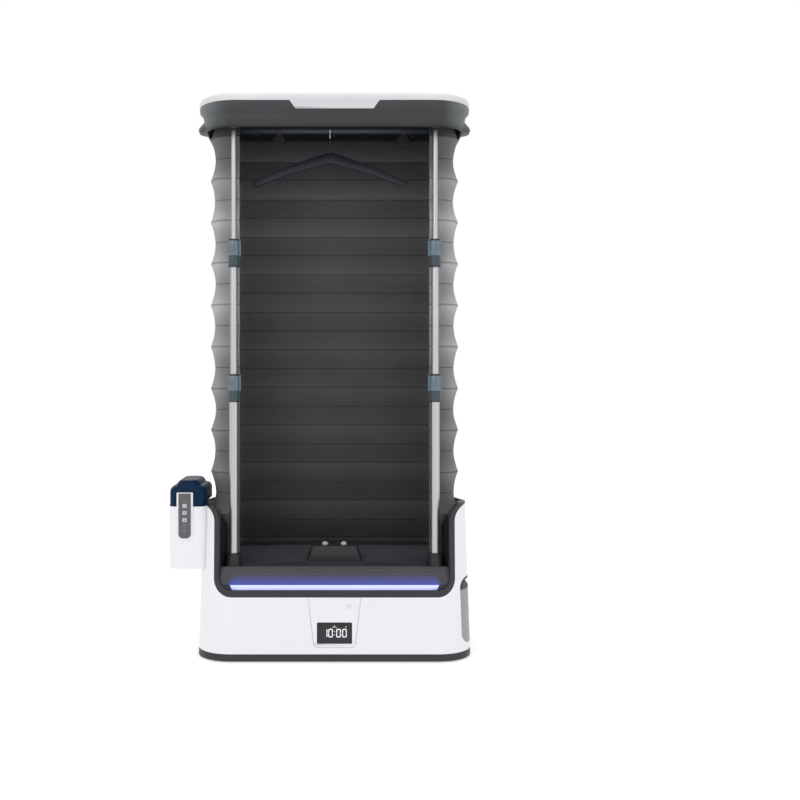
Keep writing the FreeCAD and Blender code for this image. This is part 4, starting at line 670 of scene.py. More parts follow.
@fixed
class LitDeck:
    """Dark moulded deck with painted light: the light bar's blue is painted on its sloping lip as a glow, and
    the deck is painted lighter from the front to the back.
    """

    label: str
    colour: Colour
    # painted light: colour of the bar's light on the lip
    painted_glow_colour: Colour
    glow_bottom: float
    glow_top: float
    glow_half: float
    front_y: float = -0.14
    back_y: float = 0.12
    lip_y: Pair = (-0.165, -0.172)
    # painted light: factors that lighten the deck at the front and more at the back
    front_painted_light: Colour = (2.0, 2.0, 2.0)
    back_painted_light: float = 5.5
    roughness: float = 0.42
    grain_mm: float = 0.05
    gloss: float = 0.3

    def _painted_lip_light(self, shader: Shader) -> Socket:
        """Painted light of the bar on the lip, fading upwards and towards the ends.

        Args:
            shader: The shader that it belongs to.

        Returns:
            The painted light's colour.
        """
        fade = shader.axis("Z").above(self.glow_top, self.glow_bottom)
        lip = shader.axis("Y").above(*self.lip_y)
        reach = shader.axis("X").magnitude() + (shader.axis("Z") - self.glow_bottom) * 0.7
        ends = reach.above(self.glow_half, self.glow_half * 0.95)
        return shader.blend(fade * lip * ends, (0.0, 0.0, 0.0), self.painted_glow_colour)

    def make(self) -> Material:
        """Build the material.

        Returns:
            The material.
        """
        shader = Shader(self.label)
        patches = shader.pattern(Pattern.BROAD)
        # painted light: the deck tone rises from the front to the back
        depth = shader.axis("Y").above(self.front_y, self.back_y)
        tone_mix = shader.mottle(patches, self.colour, 0.9, 1.1)
        near = shader.multiply(tone_mix, self.front_painted_light)
        return shader.paint(
            Base_Color=shader.blend(depth, near, shade(self.colour, self.back_painted_light)),
            Roughness=self.roughness + (patches - 0.5) * 0.15,
            Normal=shader.relief(shader.pattern(Pattern.PORES), self.grain_mm),
            # painted light: the lip glows with the bar's light
            Emission_Color=self._painted_lip_light(shader),
            Emission_Strength=1.0,
            Specular_IOR_Level=self.gloss,
        )


@fixed
class PrintedBoard:
    """Circuit board laminate with traces under the lacquer, and black parts above it."""

    label: str
    colour: Colour
    parts_from: float = 9.0
    step_height: float = 0.0003
    part_dark: Colour = (0.014, 0.014, 0.016)
    part_pale: Colour = (0.022, 0.022, 0.024)
    roughness: float = 0.35
    trace_mm: float = 0.05

    def make(self) -> Material:
        """Build the material.

        Returns:
            The material.
        """
        shader = Shader(self.label)
        checks = shader.node("ShaderNodeTexBrick", {"offset": 0.37}, {
            "Vector": shader.place(), "Scale": 60.0, "Mortar Size": 0.012, "Mortar Smooth": 0.2,
            "Brick Width": 1.3, "Row Height": 0.13,
        })
        parts = shader.axis("Z").above(self.parts_from, self.parts_from + self.step_height)
        lines = Signal(shader, checks.outputs["Fac"]) * (1.0 - parts)
        laminate = shader.blend(lines, self.colour, shade(self.colour, 2.0))
        moulded = shader.blend(shader.pattern(Pattern.CHIP_SKIN), self.part_dark, self.part_pale)
        return shader.paint(
            Base_Color=shader.blend(parts, laminate, moulded),
            Roughness=self.roughness + lines * 0.1,
            Normal=shader.relief(lines, self.trace_mm),
        )


class Finish(Enum):
    """Every finish on the cabinet."""

    WHITE = MouldedPlastic("white_satin_plastic", (0.80, 0.80, 0.82), 0.36, 700.0, 0.012, 0.015, 0.10)
    DRAWER_GREY = MouldedPlastic("drawer_grey_plastic", (0.28, 0.285, 0.29), 0.44, 800.0, 0.03, 0.05)
    DARK = MouldedPlastic("dark_grained_plastic", (0.030, 0.031, 0.034), 0.42, 900.0, 0.05, 0.12, 0.0, 0.3)
    TRAY = MouldedPlastic("tray_grey_plastic", (0.033, 0.034, 0.037), 0.45, 700.0, 0.05, 0.12, 0.0, 0.3)
    # Lid top: painted shade on its front face, a whiter top edge, and slightly lighter ends as painted light
    LID_WHITE = TonedPlastic(
        "lid_white_plastic", (0.80, 0.80, 0.815),
        stops=((0.0, 0.77), (0.45, 0.71), (0.75, 0.78), (0.97, 0.94), (1.0, 1.0)),
        low=1.381, high=1.425, side_painted_light=(0.83, 0.83, 0.84), side_x=0.16, roughness=0.36, gloss=0.5,
    )
    # Lid frame: painted shade makes its lower edge nearly black, a painted highlight line marks the step near
    # 1.37 m, and its top and corners are painted lighter
    LID_DARK = TonedPlastic(
        "lid_grey_plastic", (0.036, 0.039, 0.042),
        stops=((0.0, 0.12), (0.04, 0.55), (0.16, 0.8), (0.45, 1.0), (0.47, 0.85), (1.0, 1.15)),
        low=1.341, high=1.406, side_painted_light=(0.115, 0.126, 0.128), side_x=0.27,
    )
    INNER = MouldedPlastic("inner_grey_plastic", (0.018, 0.019, 0.021), 0.48, 700.0, 0.06, 0.12, 0.0, 0.3)
    LINER = MouldedPlastic("liner_black_plastic", (0.012, 0.012, 0.014), 0.34, 700.0, 0.03, 0.12, 0.0, 0.35)
    BLACK_GLOSS = MouldedPlastic(
        "black_gloss_plastic", (0.012, 0.012, 0.014), 0.22, 300.0, 0.01, 0.10, 0.0, 0.45
    )
    STRIP = MouldedPlastic("control_strip_plastic", (0.085, 0.082, 0.089), 0.30, 300.0, 0.01, 0.10, 0.2)
    KEY = MouldedPlastic("mode_key_plastic", (0.50, 0.50, 0.52), 0.40, 500.0, 0.02, 0.08)
    WORKS = MouldedPlastic("works_plastic", (0.10, 0.10, 0.105), 0.5, 600.0, 0.08, 0.12)
    HANGER = MouldedPlastic("hanger_plastic", (0.014, 0.017, 0.026), 0.38, 800.0, 0.04, 0.12, 0.0, 0.35)
    COLLAR = MouldedPlastic("collar_plastic", (0.044, 0.066, 0.075), 0.36, 600.0, 0.03, 0.10, 0.0, 0.35)
    CAP = TintedPlastic("cap_blue_plastic", (0.002, 0.019, 0.053), 0.04, 0.34, 0.0, 0.08)
    TEAL = TintedPlastic("lever_blue_plastic", (0.13, 0.19, 0.23), 0.25, 0.2)
    CLEAR = TintedPlastic("clear_plastic", (0.55, 0.72, 0.80), 0.85, 0.08)
    TUBE = DrawnMetal("drawn_aluminium", (0.49, 0.49, 0.50), 0.38)
    STEEL = DrawnMetal("bright_steel", (0.58, 0.58, 0.60), 0.24, (0.3, 0.3, 0.3))
    CAST = CastMetal("cast_aluminium", (0.48, 0.49, 0.50))
    COPPER = DrawnMetal("copper_winding", (0.66, 0.30, 0.12), 0.35, (0.4, 0.4, 1.0))
    ENAMEL = PowderCoat("black_powder_coat", (0.012, 0.012, 0.014))
    RAIL = PowderCoat("rail_blue_grey_coat", (0.030, 0.037, 0.043))
    RUBBER = SoftRubber("foot_rubber", (0.016, 0.016, 0.018))
    SILICONE = SoftRubber("milky_silicone", (0.50, 0.50, 0.48), 0.5)
    # Outside of the cloth: pale ridge and dark valley colours with painted shade in the folds, painted shade
    # towards the bottom and under the lid, and painted light at the corners
    CLOTH = PleatedCloth(
        "pleated_cloth_outside", (0.58, 0.58, 0.585), (0.20, 0.20, 0.205),
        height_shade=((0.25, 0.28), (0.50, 0.33), (0.60, 0.39), (0.75, 0.56), (0.86, 0.71),
                (1.14, 0.74), (1.24, 0.50), (1.31, 0.30), (1.39, 0.11)),
        corner_x=0.300,
    )
    # Inside of the cloth: partly a darker cloth face, partly painted shade of the chamber, darker towards the
    # bottom and under the lid as painted shade
    LINING = PleatedCloth(
        "pleated_cloth_lining", (0.150, 0.152, 0.158), (0.060, 0.060, 0.063),
        height_shade=((0.25, 0.42), (0.50, 0.62), (0.90, 0.75), (1.20, 1.0), (1.30, 1.0), (1.39, 0.65)),
        corner_x=0.300,
    )
    THREAD = SoftRubber("stitch_thread", (0.11, 0.11, 0.115), 0.8)
    LIGHT_BAR = Glow(
        "light_bar_diffuser", (0.60, 0.64, 1.0), 0.47, (0.14, 0.15, 0.52),
        half_width=0.274, point=1.5, top=0.191,
    )
    DIGITS = Glow("display_digits", (0.62, 0.62, 0.66), 0.72, (0.62, 0.62, 0.66))
    DIM_MARKS = Glow("dim_marks", (0.16, 0.16, 0.17), 0.35, (0.16, 0.16, 0.17))
    PRINT = MouldedPlastic("grey_print", (0.42, 0.42, 0.43), 0.5)
    # Deck: dark plastic with the light bar's blue painted on its lip, and painted lighter towards the back
    DECK = LitDeck(
        "lit_deck_plastic", (0.029, 0.029, 0.033), (0.016, 0.028, 0.31),
        glow_bottom=0.192, glow_top=0.219, glow_half=0.275,
    )
    BOARD = PrintedBoard("circuit_laminate", (0.012, 0.085, 0.035), 0.0197)
    LAMPS = PrintedBoard("lamp_laminate", (0.45, 0.47, 0.45))

    def material(self) -> Material:
        """The finish's material, made the first time it is asked for."""
        return bpy.data.materials.get(self.value.label) or self.value.make()


# ---------------------------------------------------------------- modelled solids
@fixed
class Row:
    """Evenly spaced places along one axis."""

    start: float
    pitch: float
    count: int

    def __iter__(self) -> Iterator[float]:
        """The places in order."""
        return (self.start + self.pitch * i for i in range(self.count))


def ring_outline(radius: float, count: int = 24) -> list[Pair]:
    """Corners of a circle."""
    turns = [math.tau * i / count for i in range(count)]
    return [(radius * math.cos(turn), radius * math.sin(turn)) for turn in turns]


def rectangle(x0: float, x1: float, y0: float, y1: float) -> list[Pair]:
    """Corners of an upright rectangle."""
    return [(x0, y0), (x1, y0), (x1, y1), (x0, y1)]


def moved(outline: Outline, u: float, v: float) -> list[Pair]:
    """An outline shifted sideways and upwards."""
    return [(a + u, b + v) for a, b in outline]


def join_loops(
    work: Work, here: list[bmesh.types.BMVert], there: list[bmesh.types.BMVert]
) -> list[Face]:
    """Join two closed loops of corners by quads.

    Args:
        work: The mesh being built.
        here: First loop.
        there: Second loop, with as many corners.

    Returns:
        The new faces.
    """
    quads = zip(here, here[1:] + here[:1], there[1:] + there[:1], there)
    return [work.faces.new(quad) for quad in quads]


@fixed
class Plate:
    """Closed plate whose front follows an outline; "place" turns (u, v, depth) into a point."""

    outline: Outline
    place: Layout
    thickness: float

    def faces(self, work: Work) -> list[Face]:
        """Front, back and edge of the plate.

        Args:
            work: The mesh being built.

        Returns:
            The new faces.
        """
        front = [work.verts.new(self.place(u, v, 0.0)) for u, v in self.outline]
        back = [work.verts.new(self.place(u, v, self.thickness)) for u, v in self.outline]
        return [work.faces.new(front), work.faces.new(back[::-1]), *join_loops(work, back, front)]


@fixed
class Band:
    """Closed ring between two outlines with the same number of corners."""

    outer: Outline
    inner: Outline
    place: Layout
    thickness: float

    def faces(self, work: Work) -> list[Face]:
        """Front, inside, back and outside of the ring.

        Args:
            work: The mesh being built.

        Returns:
            The new faces.
        """
        back = self.thickness
        lines = ((self.outer, 0.0), (self.inner, 0.0), (self.inner, back), (self.outer, back))
        rows = [[work.verts.new(self.place(u, v, depth)) for u, v in line] for line, depth in lines]
        pairs = zip(rows, rows[1:] + rows[:1])
        return [face for here, there in pairs for face in join_loops(work, here, there)]


@fixed
class Block:
    """Box with broken edges between its lowest and its highest corner."""

    low: Point
    high: Point
    edge: float = 0.0006

    def faces(self, work: Work) -> list[Face]:
        """Cube that is stretched and chamfered, with its faces outwards already.

        Args:
            work: The mesh being built.

        Returns:
            Nothing that is still to be turned.
        """
        verts = bmesh.ops.create_cube(work, size=1.0)["verts"]
        for vert in verts:
            vert.co = Vector(tuple(a + (c + 0.5) * (b - a) for a, b, c in zip(self.low, self.high, vert.co)))
        edges = list(dict.fromkeys(line for vert in verts for line in vert.link_edges))
        bmesh.ops.bevel(work, geom=edges, offset=self.edge, segments=1, profile=0.5, affect="EDGES")
        return []


@fixed
class Bar:
    """Round bar with chamfered ends; "chamfer" is a share of the radius."""

    start: Point
    end: Point
    radius: float
    facets: int = 16
    chamfer: float = 0.2

    def faces(self, work: Work) -> list[Face]:
        """Ends and rings of facets of the bar.

        Args:
            work: The mesh being built.

        Returns:
            The new faces.
        """
        axis = Vector(self.end) - Vector(self.start)
        length = axis.length
        axis.normalize()
        side = axis.orthogonal().normalized()
        other = axis.cross(side)
        edge = min(self.chamfer * self.radius, length * 0.4)
        small = self.radius - edge
        rows = []
        for reach, size in ((0.0, small), (edge, self.radius), (length - edge, self.radius), (length, small)):
            middle = Vector(self.start) + axis * reach
            ring = ring_outline(size, self.facets)
            rows.append([work.verts.new(middle + side * u + other * v) for u, v in ring])
        made = [work.faces.new(rows[0]), work.faces.new(rows[-1][::-1])]
        for here, there in zip(rows, rows[1:]):
            made += join_loops(work, here, there)
        return made


Solid = Union[Plate, Band, Block, Bar]


# ---------------------------------------------------------------- the bench
BODY_OF = {node: body for body, nodes in frame["record"]["behaviour"]["bodies"].items() for node in nodes}


class Bench:
    """Puts meshes into the scene and fixes them to the cabinet's bodies."""

    @staticmethod
    def fit(
        name: str, mesh: Mesh, node: str, *finishes: Finish, stands_in: bool = False, crease: float = 35.0
    ) -> Piece:
        """Make a piece that rides with a node.

        Args:
            name: Name of the piece.
            mesh: Its mesh, already in place.
            node: The node.
            finishes: A finish for each material number of the mesh.
            stands_in: Whether the piece takes the node's place.
            crease: Angle in degrees above which edges stay sharp.

        Returns:
            The new object.
        """
        piece = bpy.data.objects.new(name, mesh)
        mesh.name = name
        bpy.context.scene.collection.objects.link(piece)
        mesh.materials.clear()
        for finish in finishes:
            mesh.materials.append(finish.material())
        mesh.shade_smooth()
        mesh.set_sharp_from_angle(angle=math.radians(crease))
        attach(piece, BODY_OF[node])
        if stands_in:
            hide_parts(node)
        LOG.info("%-26s on %-18s %6d faces", name, BODY_OF[node], len(mesh.polygons))
        return piece

    @staticmethod
    def model(name: str, node: str, finish: Finish, solids: Iterable[Solid]) -> Piece:
        """Model a small piece from plain solids and fit it to a node.

        Args:
            name: Name of the piece.
            node: Node that it rides with.
            finish: Its finish.
            solids: What it is made of.

        Returns:
            The new object.
        """
        work = bmesh.new()
        for solid in solids:
            bmesh.ops.recalc_face_normals(work, faces=solid.faces(work))
        mesh = bpy.data.meshes.new(name)
        work.to_mesh(mesh)
        work.free()
        return Bench.fit(name, mesh, node, finish)

    @staticmethod
    def finish(*looks: tuple[str, Finish, *tuple[float, ...]]) -> None:
        """Give nodes of the frame their finishes.

        Args:
            looks: Name and finish of each node, and for a node that is softened the arguments of soften.
        """
        for node, finish, *rounding in looks:
            if rounding:
                Bench.soften(node, finish, *rounding)
                continue
            mesh = frame["nodes"][node].data
            mesh.materials.clear()
            mesh.materials.append(finish.material())
            LOG.info("%-26s dressed in %s", node, finish.value.label)

    @staticmethod
    def soften(
        node: str, finish: Finish, width_mm: float, segments: int = 2, sharper_than: float = 28.0
    ) -> Piece:
        """Copy a node, round its edges and let the copy stand for it.

        Args:
            node: Name of the node.
            finish: The finish of the copy.
            width_mm: Width of the rounding.
            segments: Facets across the rounding.
            sharper_than: Only edges with a larger angle, in degrees, are rounded.

        Returns:
            The copy.
        """
        work = bmesh.new()
        work.from_mesh(frame["nodes"][node].data)
        bmesh.ops.remove_doubles(work, verts=work.verts, dist=0.00002)
        bmesh.ops.dissolve_limit(
            work, angle_limit=math.radians(0.4), verts=work.verts, edges=work.edges, delimit={"NORMAL"}
        )
        limit = math.radians(sharper_than)
        edges = [edge for edge in work.edges if edge.is_manifold and abs(edge.calc_face_angle(0.0)) > limit]
        bmesh.ops.bevel(
            work,
            geom=edges,
            offset=width_mm * MM,
            offset_type="OFFSET",
            segments=segments,
            profile=0.5,
            affect="EDGES",
            clamp_overlap=True,
            loop_slide=True,
            miter_outer="ARC",
        )
        bmesh.ops.triangulate(work, faces=[face for face in work.faces if len(face.verts) > 4])
        mesh = bpy.data.meshes.new(node + "_made")
        work.to_mesh(mesh)
        work.free()
        return Bench.fit(node + "_finished", mesh, node, finish, stands_in=True)


# ---------------------------------------------------------------- geometry nodes
class Recipe(NodeTree):
    """A geometry node tree with named sizes."""

    def __init__(self, name: str, sizes: dict[str, float]) -> None:
        """Start the tree and its inputs.

        Args:
            name: Name of the tree and of the piece that it makes.
            sizes: Name and value of each size.
        """
        self.name = name
        self.sizes = sizes
        self.tree = bpy.data.node_groups.new(name, "GeometryNodeTree")
        self.tree.interface.new_socket("Geometry", in_out="INPUT", socket_type="NodeSocketGeometry")
        for size in sizes:
            self.tree.interface.new_socket(size, in_out="INPUT", socket_type="NodeSocketFloat")
        self.tree.interface.new_socket("Geometry", in_out="OUTPUT", socket_type="NodeSocketGeometry")
        self.start = self.tree.nodes.new("NodeGroupInput")
        self.end = self.tree.nodes.new("NodeGroupOutput")

    def size(self, name: str) -> Socket:
        """The socket of a named size, or of the incoming Geometry."""
        return self.start.outputs[name]

    def times(self, value: Socket, factor: float) -> Socket:
        """A number multiplied by a factor."""
        return self.node("ShaderNodeMath", {"operation": "MULTIPLY"}, {0: value, 1: factor}).outputs[0]

    def vector(self, x: object = 0.0, y: object = 0.0, z: object = 0.0) -> Socket:
        """A vector from three numbers."""
        return self.node("ShaderNodeCombineXYZ", {}, {0: x, 1: y, 2: z}).outputs[0]

    def change(self, geometry: Socket, **moves: Socket) -> Socket:
        """Geometry with a Translation or a Scale."""
        return self.node("GeometryNodeTransform", {}, {"Geometry": geometry, **moves}).outputs[0]

    def weld(self, geometry: Socket, distance: float) -> Socket:
        """Geometry whose corners closer than a distance are merged."""
        inputs = {"Geometry": geometry, "Distance": distance}
        return self.node("GeometryNodeMergeByDistance", {}, inputs).outputs[0]

    def circle(self, facets: int, radius: str) -> Socket:
        """Circle whose radius is a named size."""
        inputs = {"Resolution": facets, "Radius": self.size(radius)}
        return self.node("GeometryNodeCurvePrimitiveCircle", {}, inputs).outputs[0]

    def spread(self, shape: Socket) -> Socket:
        """Put copies of a shape on the incoming points.

        Args:
            shape: The shape; it is turned to "facing" and then to "along".

        Returns:
            The copies.
        """
        turn: object = None
        for name, letter, pivot in (("facing", "Z", "AUTO"), ("along", "X", "Z")):
            wanted = self.node("GeometryNodeInputNamedAttribute", {"data_type": "FLOAT_VECTOR"}, {"Name": name})
            inputs = {"Vector": wanted.outputs[0]}
            if turn is not None:
                inputs["Rotation"] = turn
            axes = {"axis": letter, "pivot_axis": pivot}
            turn = self.node("FunctionNodeAlignRotationToVector", axes, inputs).outputs[0]
        inputs = {"Points": self.size("Geometry"), "Instance": shape, "Rotation": turn}
        return self.node("GeometryNodeInstanceOnPoints", {}, inputs).outputs[0]

    def fit(self, node: str, geometry: Socket, finish: Finish, seed_mesh: Mesh) -> Piece:
        """Close the tree, run it on a mesh and fit the plain result to a node.

        Args:
            node: Node that the piece rides with.
            geometry: The geometry that the tree has made.
            finish: Finish that it gets.
            seed_mesh: Mesh that goes into the tree.

        Returns:
            The new piece.
        """
        whole = self.node("GeometryNodeRealizeInstances", {}, {0: geometry}).outputs[0]
        painted = self.node("GeometryNodeSetMaterial", {}, {"Geometry": whole, "Material": finish.material()})
        self.tree.links.new(painted.outputs[0], self.end.inputs[0])
        carrier = bpy.data.objects.new(self.name + "_carrier", seed_mesh)
        bpy.context.scene.collection.objects.link(carrier)
        modifier = carrier.modifiers.new(self.name, "NODES")
        modifier.node_group = self.tree
        for item in self.tree.interface.items_tree:
            if item.in_out == "INPUT" and item.name in self.sizes:
                modifier[item.identifier] = self.sizes[item.name]
        graph = bpy.context.evaluated_depsgraph_get()
        result = bpy.data.meshes.new_from_object(carrier.evaluated_get(graph), depsgraph=graph)
        carrier.modifiers.clear()
        bpy.data.objects.remove(carrier)
        return Bench.fit(self.name, result, node, finish)


def points_mesh(name: str, points: Points, facing: Points, along: Points) -> Mesh:
    """A mesh of loose points with the directions "facing" and "along".

    Args:
        name: Name of the mesh.
        points: The places.
        facing: One direction for all points, or one for each.
        along: Direction of the copies' length, again one or one for each.

    Returns:
        The mesh.
    """
    points = [tuple(point) for point in points]
    mesh = bpy.data.meshes.new(name)
    mesh.from_pydata(points, [], [])
    for label, values in (("facing", facing), ("along", along)):
        values = list(values) * len(points) if len(values) == 1 else list(values)
        store = mesh.attributes.new(label, "FLOAT_VECTOR", "POINT")
        store.data.foreach_set("vector", [value for one in values for value in one])
    return mesh


@fixed
class Fitting:
    """Small part that is put on a node in equal copies; its sizes feed a recipe."""

    def shape(self, recipe: Recipe) -> Socket:
        """Shape of one copy, with the middle of its seat at the origin."""
        raise NotImplementedError

    def fit(self, name: str, node: str, spots: Points, facing: Points, along: Points = (RIGHT,)) -> Piece:
        """Put copies on a node.

        Args:
            name: Name of the piece.
            node: Node that carries it.
            spots: Places of the copies.
            facing: Direction they look in, one for all or one for each.
            along: Direction of their width, again one or one for each.

        Returns:
            One piece with all copies.
        """
        recipe = Recipe(name, {size: value for size, value in vars(self).items() if isinstance(value, float)})
        seeds = points_mesh(name + "_spots", spots, facing, along)
        return recipe.fit(node, recipe.spread(self.shape(recipe)), self.finish, seeds)


@fixed
class ScrewHead(Fitting):
    """Slotted screw head."""

    radius: float
    height: float
    finish: Finish = Finish.STEEL
    facets: int = 20
    slot_share: float = 0.3
    slot_length: float = 1.3

    def shape(self, recipe: Recipe) -> Socket:
        """Cylinder with a slot across its top.

        Args:
            recipe: The recipe that it belongs to.

        Returns:
            The head.
        """
        radius, tall = recipe.size("radius"), recipe.size("height")
        inputs = {"Vertices": self.facets, "Radius": radius, "Depth": tall}
        head = recipe.node("GeometryNodeMeshCylinder", {}, inputs).outputs["Mesh"]
        head = recipe.change(head, Translation=recipe.vector(z=recipe.times(tall, 0.5)))
        size = recipe.vector(recipe.times(radius, self.slot_length), self.radius * self.slot_share, tall)
        cutter = recipe.node("GeometryNodeMeshCube", {}, {"Size": size}).outputs["Mesh"]
        cutter = recipe.change(cutter, Translation=recipe.vector(z=tall))
        meshes = {"Mesh 1": head, "Mesh 2": cutter}
        cut = recipe.node("GeometryNodeMeshBoolean", {"operation": "DIFFERENCE"}, meshes).outputs["Mesh"]
        return recipe.weld(cut, 0.00002)


@fixed
class RoundedPlate(Fitting):
    """Plate with rounded corners, for slats, ribs, chips and fins."""

    width: float
    height: float
    thickness: float
    corner: float
    finish: Finish

    def shape(self, recipe: Recipe) -> Socket:
        """Rounded rectangle raised by its thickness.

        Args:
            recipe: The recipe that it belongs to.

        Returns:
            The plate.
        """
        size = {"Width": recipe.size("width"), "Height": recipe.size("height")}
        outline = recipe.node("GeometryNodeCurvePrimitiveQuadrilateral", {}, size).outputs[0]
        corners = {"Curve": outline, "Count": 3, "Radius": recipe.size("corner")}
        rounded = recipe.node("GeometryNodeFilletCurve", {"mode": "POLY"}, corners).outputs[0]
        face = recipe.node("GeometryNodeFillCurve", {"mode": "NGONS"}, {"Curve": rounded}).outputs[0]
        rise = {"Mesh": face, "Offset Scale": recipe.size("thickness")}
        raised = recipe.node("GeometryNodeExtrudeMesh", {"mode": "FACES"}, rise).outputs[0]
        back = recipe.node("GeometryNodeFlipFaces", {}, {"Mesh": face}).outputs[0]
        both = recipe.node("GeometryNodeJoinGeometry")
        for half in (raised, back):
            recipe.tree.links.new(half, both.inputs[0])
        return recipe.weld(both.outputs[0], 0.00001)


@fixed
class RoundRing(Fitting):
    """Round ring; "radius" is that of its core line and "section" that of its section."""

    radius: float
    section: float
    finish: Finish
    facets: int = 36
    section_facets: int = 8

    def shape(self, recipe: Recipe) -> Socket:
        """Circle swept round a circle.

        Args:
            recipe: The recipe that it belongs to.

        Returns:
            The ring.
        """
        inputs = {
            "Curve": recipe.circle(self.facets, "radius"),
            "Profile Curve": recipe.circle(self.section_facets, "section"),
        }
        return recipe.node("GeometryNodeCurveToMesh", {}, inputs).outputs[0]


@fixed
class Stitch:
    """Stitch of a seam."""

    pitch: float
    length: float
    thickness: float
    finish: Finish = Finish.THREAD

    def fit(self, name: str, node: str, lines: Sequence[Points]) -> Piece:
        """Sew along several lines.

        Args:
            name: Name of the piece.
            node: Node that is sewn.
            lines: Chains of points along the seams.

        Returns:
            One piece with all stitches.
        """
        recipe = Recipe(name, {"Pitch": self.pitch, "Length": self.length, "Thread": self.thickness})
        curve = recipe.node("GeometryNodeMeshToCurve", {}, {"Mesh": recipe.size("Geometry")}).outputs[0]
        steps = {"Curve": curve, "Length": recipe.size("Pitch")}
        spread = recipe.node("GeometryNodeCurveToPoints", {"mode": "LENGTH"}, steps)
        seed = recipe.node("GeometryNodeMeshIcoSphere", {}, {"Radius": 0.5, "Subdivisions": 1}).outputs["Mesh"]
        shape = recipe.vector(recipe.size("Thread"), recipe.size("Thread"), recipe.size("Length"))
        seed = recipe.change(seed, Scale=shape)
        tangent = {"Vector": spread.outputs["Tangent"]}
        turn = recipe.node("FunctionNodeAlignRotationToVector", {"axis": "Z"}, tangent).outputs[0]
        inputs = {"Points": spread.outputs["Points"], "Instance": seed, "Rotation": turn}
        placed = recipe.node("GeometryNodeInstanceOnPoints", {}, inputs).outputs[0]
        points: list[Point] = []
        edges: list[tuple[int, int]] = []
        for line in lines:
            first = len(points)
            points.extend(tuple(point) for point in line)
            edges.extend((first + i, first + i + 1) for i in range(len(line) - 1))
        mesh = bpy.data.meshes.new(name + "_lines")
        mesh.from_pydata(points, edges, [])
        return recipe.fit(node, placed, self.finish, mesh)


# ---------------------------------------------------------------- places on surfaces
def probe(node: str, origin: Point, direction: Point) -> tuple[Vector, Vector]:
    """Find where a ray first meets a node of the frame.

    Args:
        node: Name of the node.
        origin: Start of the ray in metres.
        direction: Its direction.

    Returns:
        The point on the surface and the outward normal.
    """
    mesh = frame["nodes"][node].data
    tree = BVHTree.FromPolygons([v.co for v in mesh.vertices], [p.vertices for p in mesh.polygons])
    place, normal, _, _ = tree.ray_cast(Vector(origin), Vector(direction).normalized())
    if place is None:
        raise ValueError(f"the ray misses {node}")
    return place, normal


def seats(node: str, origins: Points, direction: Point) -> tuple[list[Point], list[Point]]:
    """Find where parallel rays first meet a node of the frame.

    Args:
        node: Name of the node.
        origins: Starts of the rays in metres.
        direction: Their direction.

    Returns:
        The points on the surface and the outward normals there.
    """
    found = [probe(node, origin, direction) for origin in origins]
    return [tuple(place) for place, _ in found], [tuple(normal) for _, normal in found]


def front_plane(node: str, x: float, z: float, lift: float = 0.0001) -> Layout:
    """Plane that touches a node seen from the front.

    Args:
        node: Name of the node.
        x: Sideways place of the point of contact.
        z: Its height.
        lift: Distance of the plane above the surface.

    Returns:
        A function from (sideways, upwards, depth) to a point in space.
    """
    place, normal = probe(node, (x, AWAY_FRONT, z), BACK)
    side = Vector(UP).cross(normal).normalized()
    up = normal.cross(side)

    def point(u: float, v: float, depth: float) -> Point:
        """Point at (u, v) that lies a depth below the plane."""
        return tuple(place + side * u + up * v + normal * (lift - depth))

    return point


# ---------------------------------------------------------------- the studio
@fixed
class SoftLight:
    """Square soft light."""

    name: str
    at: Point
    towards: Point
    size: float
    power: float

    def hang(self) -> None:
        """Put the light into the scene."""
        data = bpy.data.lights.new(self.name, "AREA")
        data.size = self.size
        data.energy = self.power
        lamp = bpy.data.objects.new(self.name, data)
        lamp.location = self.at
        lamp.rotation_euler = (Vector(self.towards) - Vector(self.at)).to_track_quat("-Z", "Y").to_euler()
        bpy.context.scene.collection.objects.link(lamp)


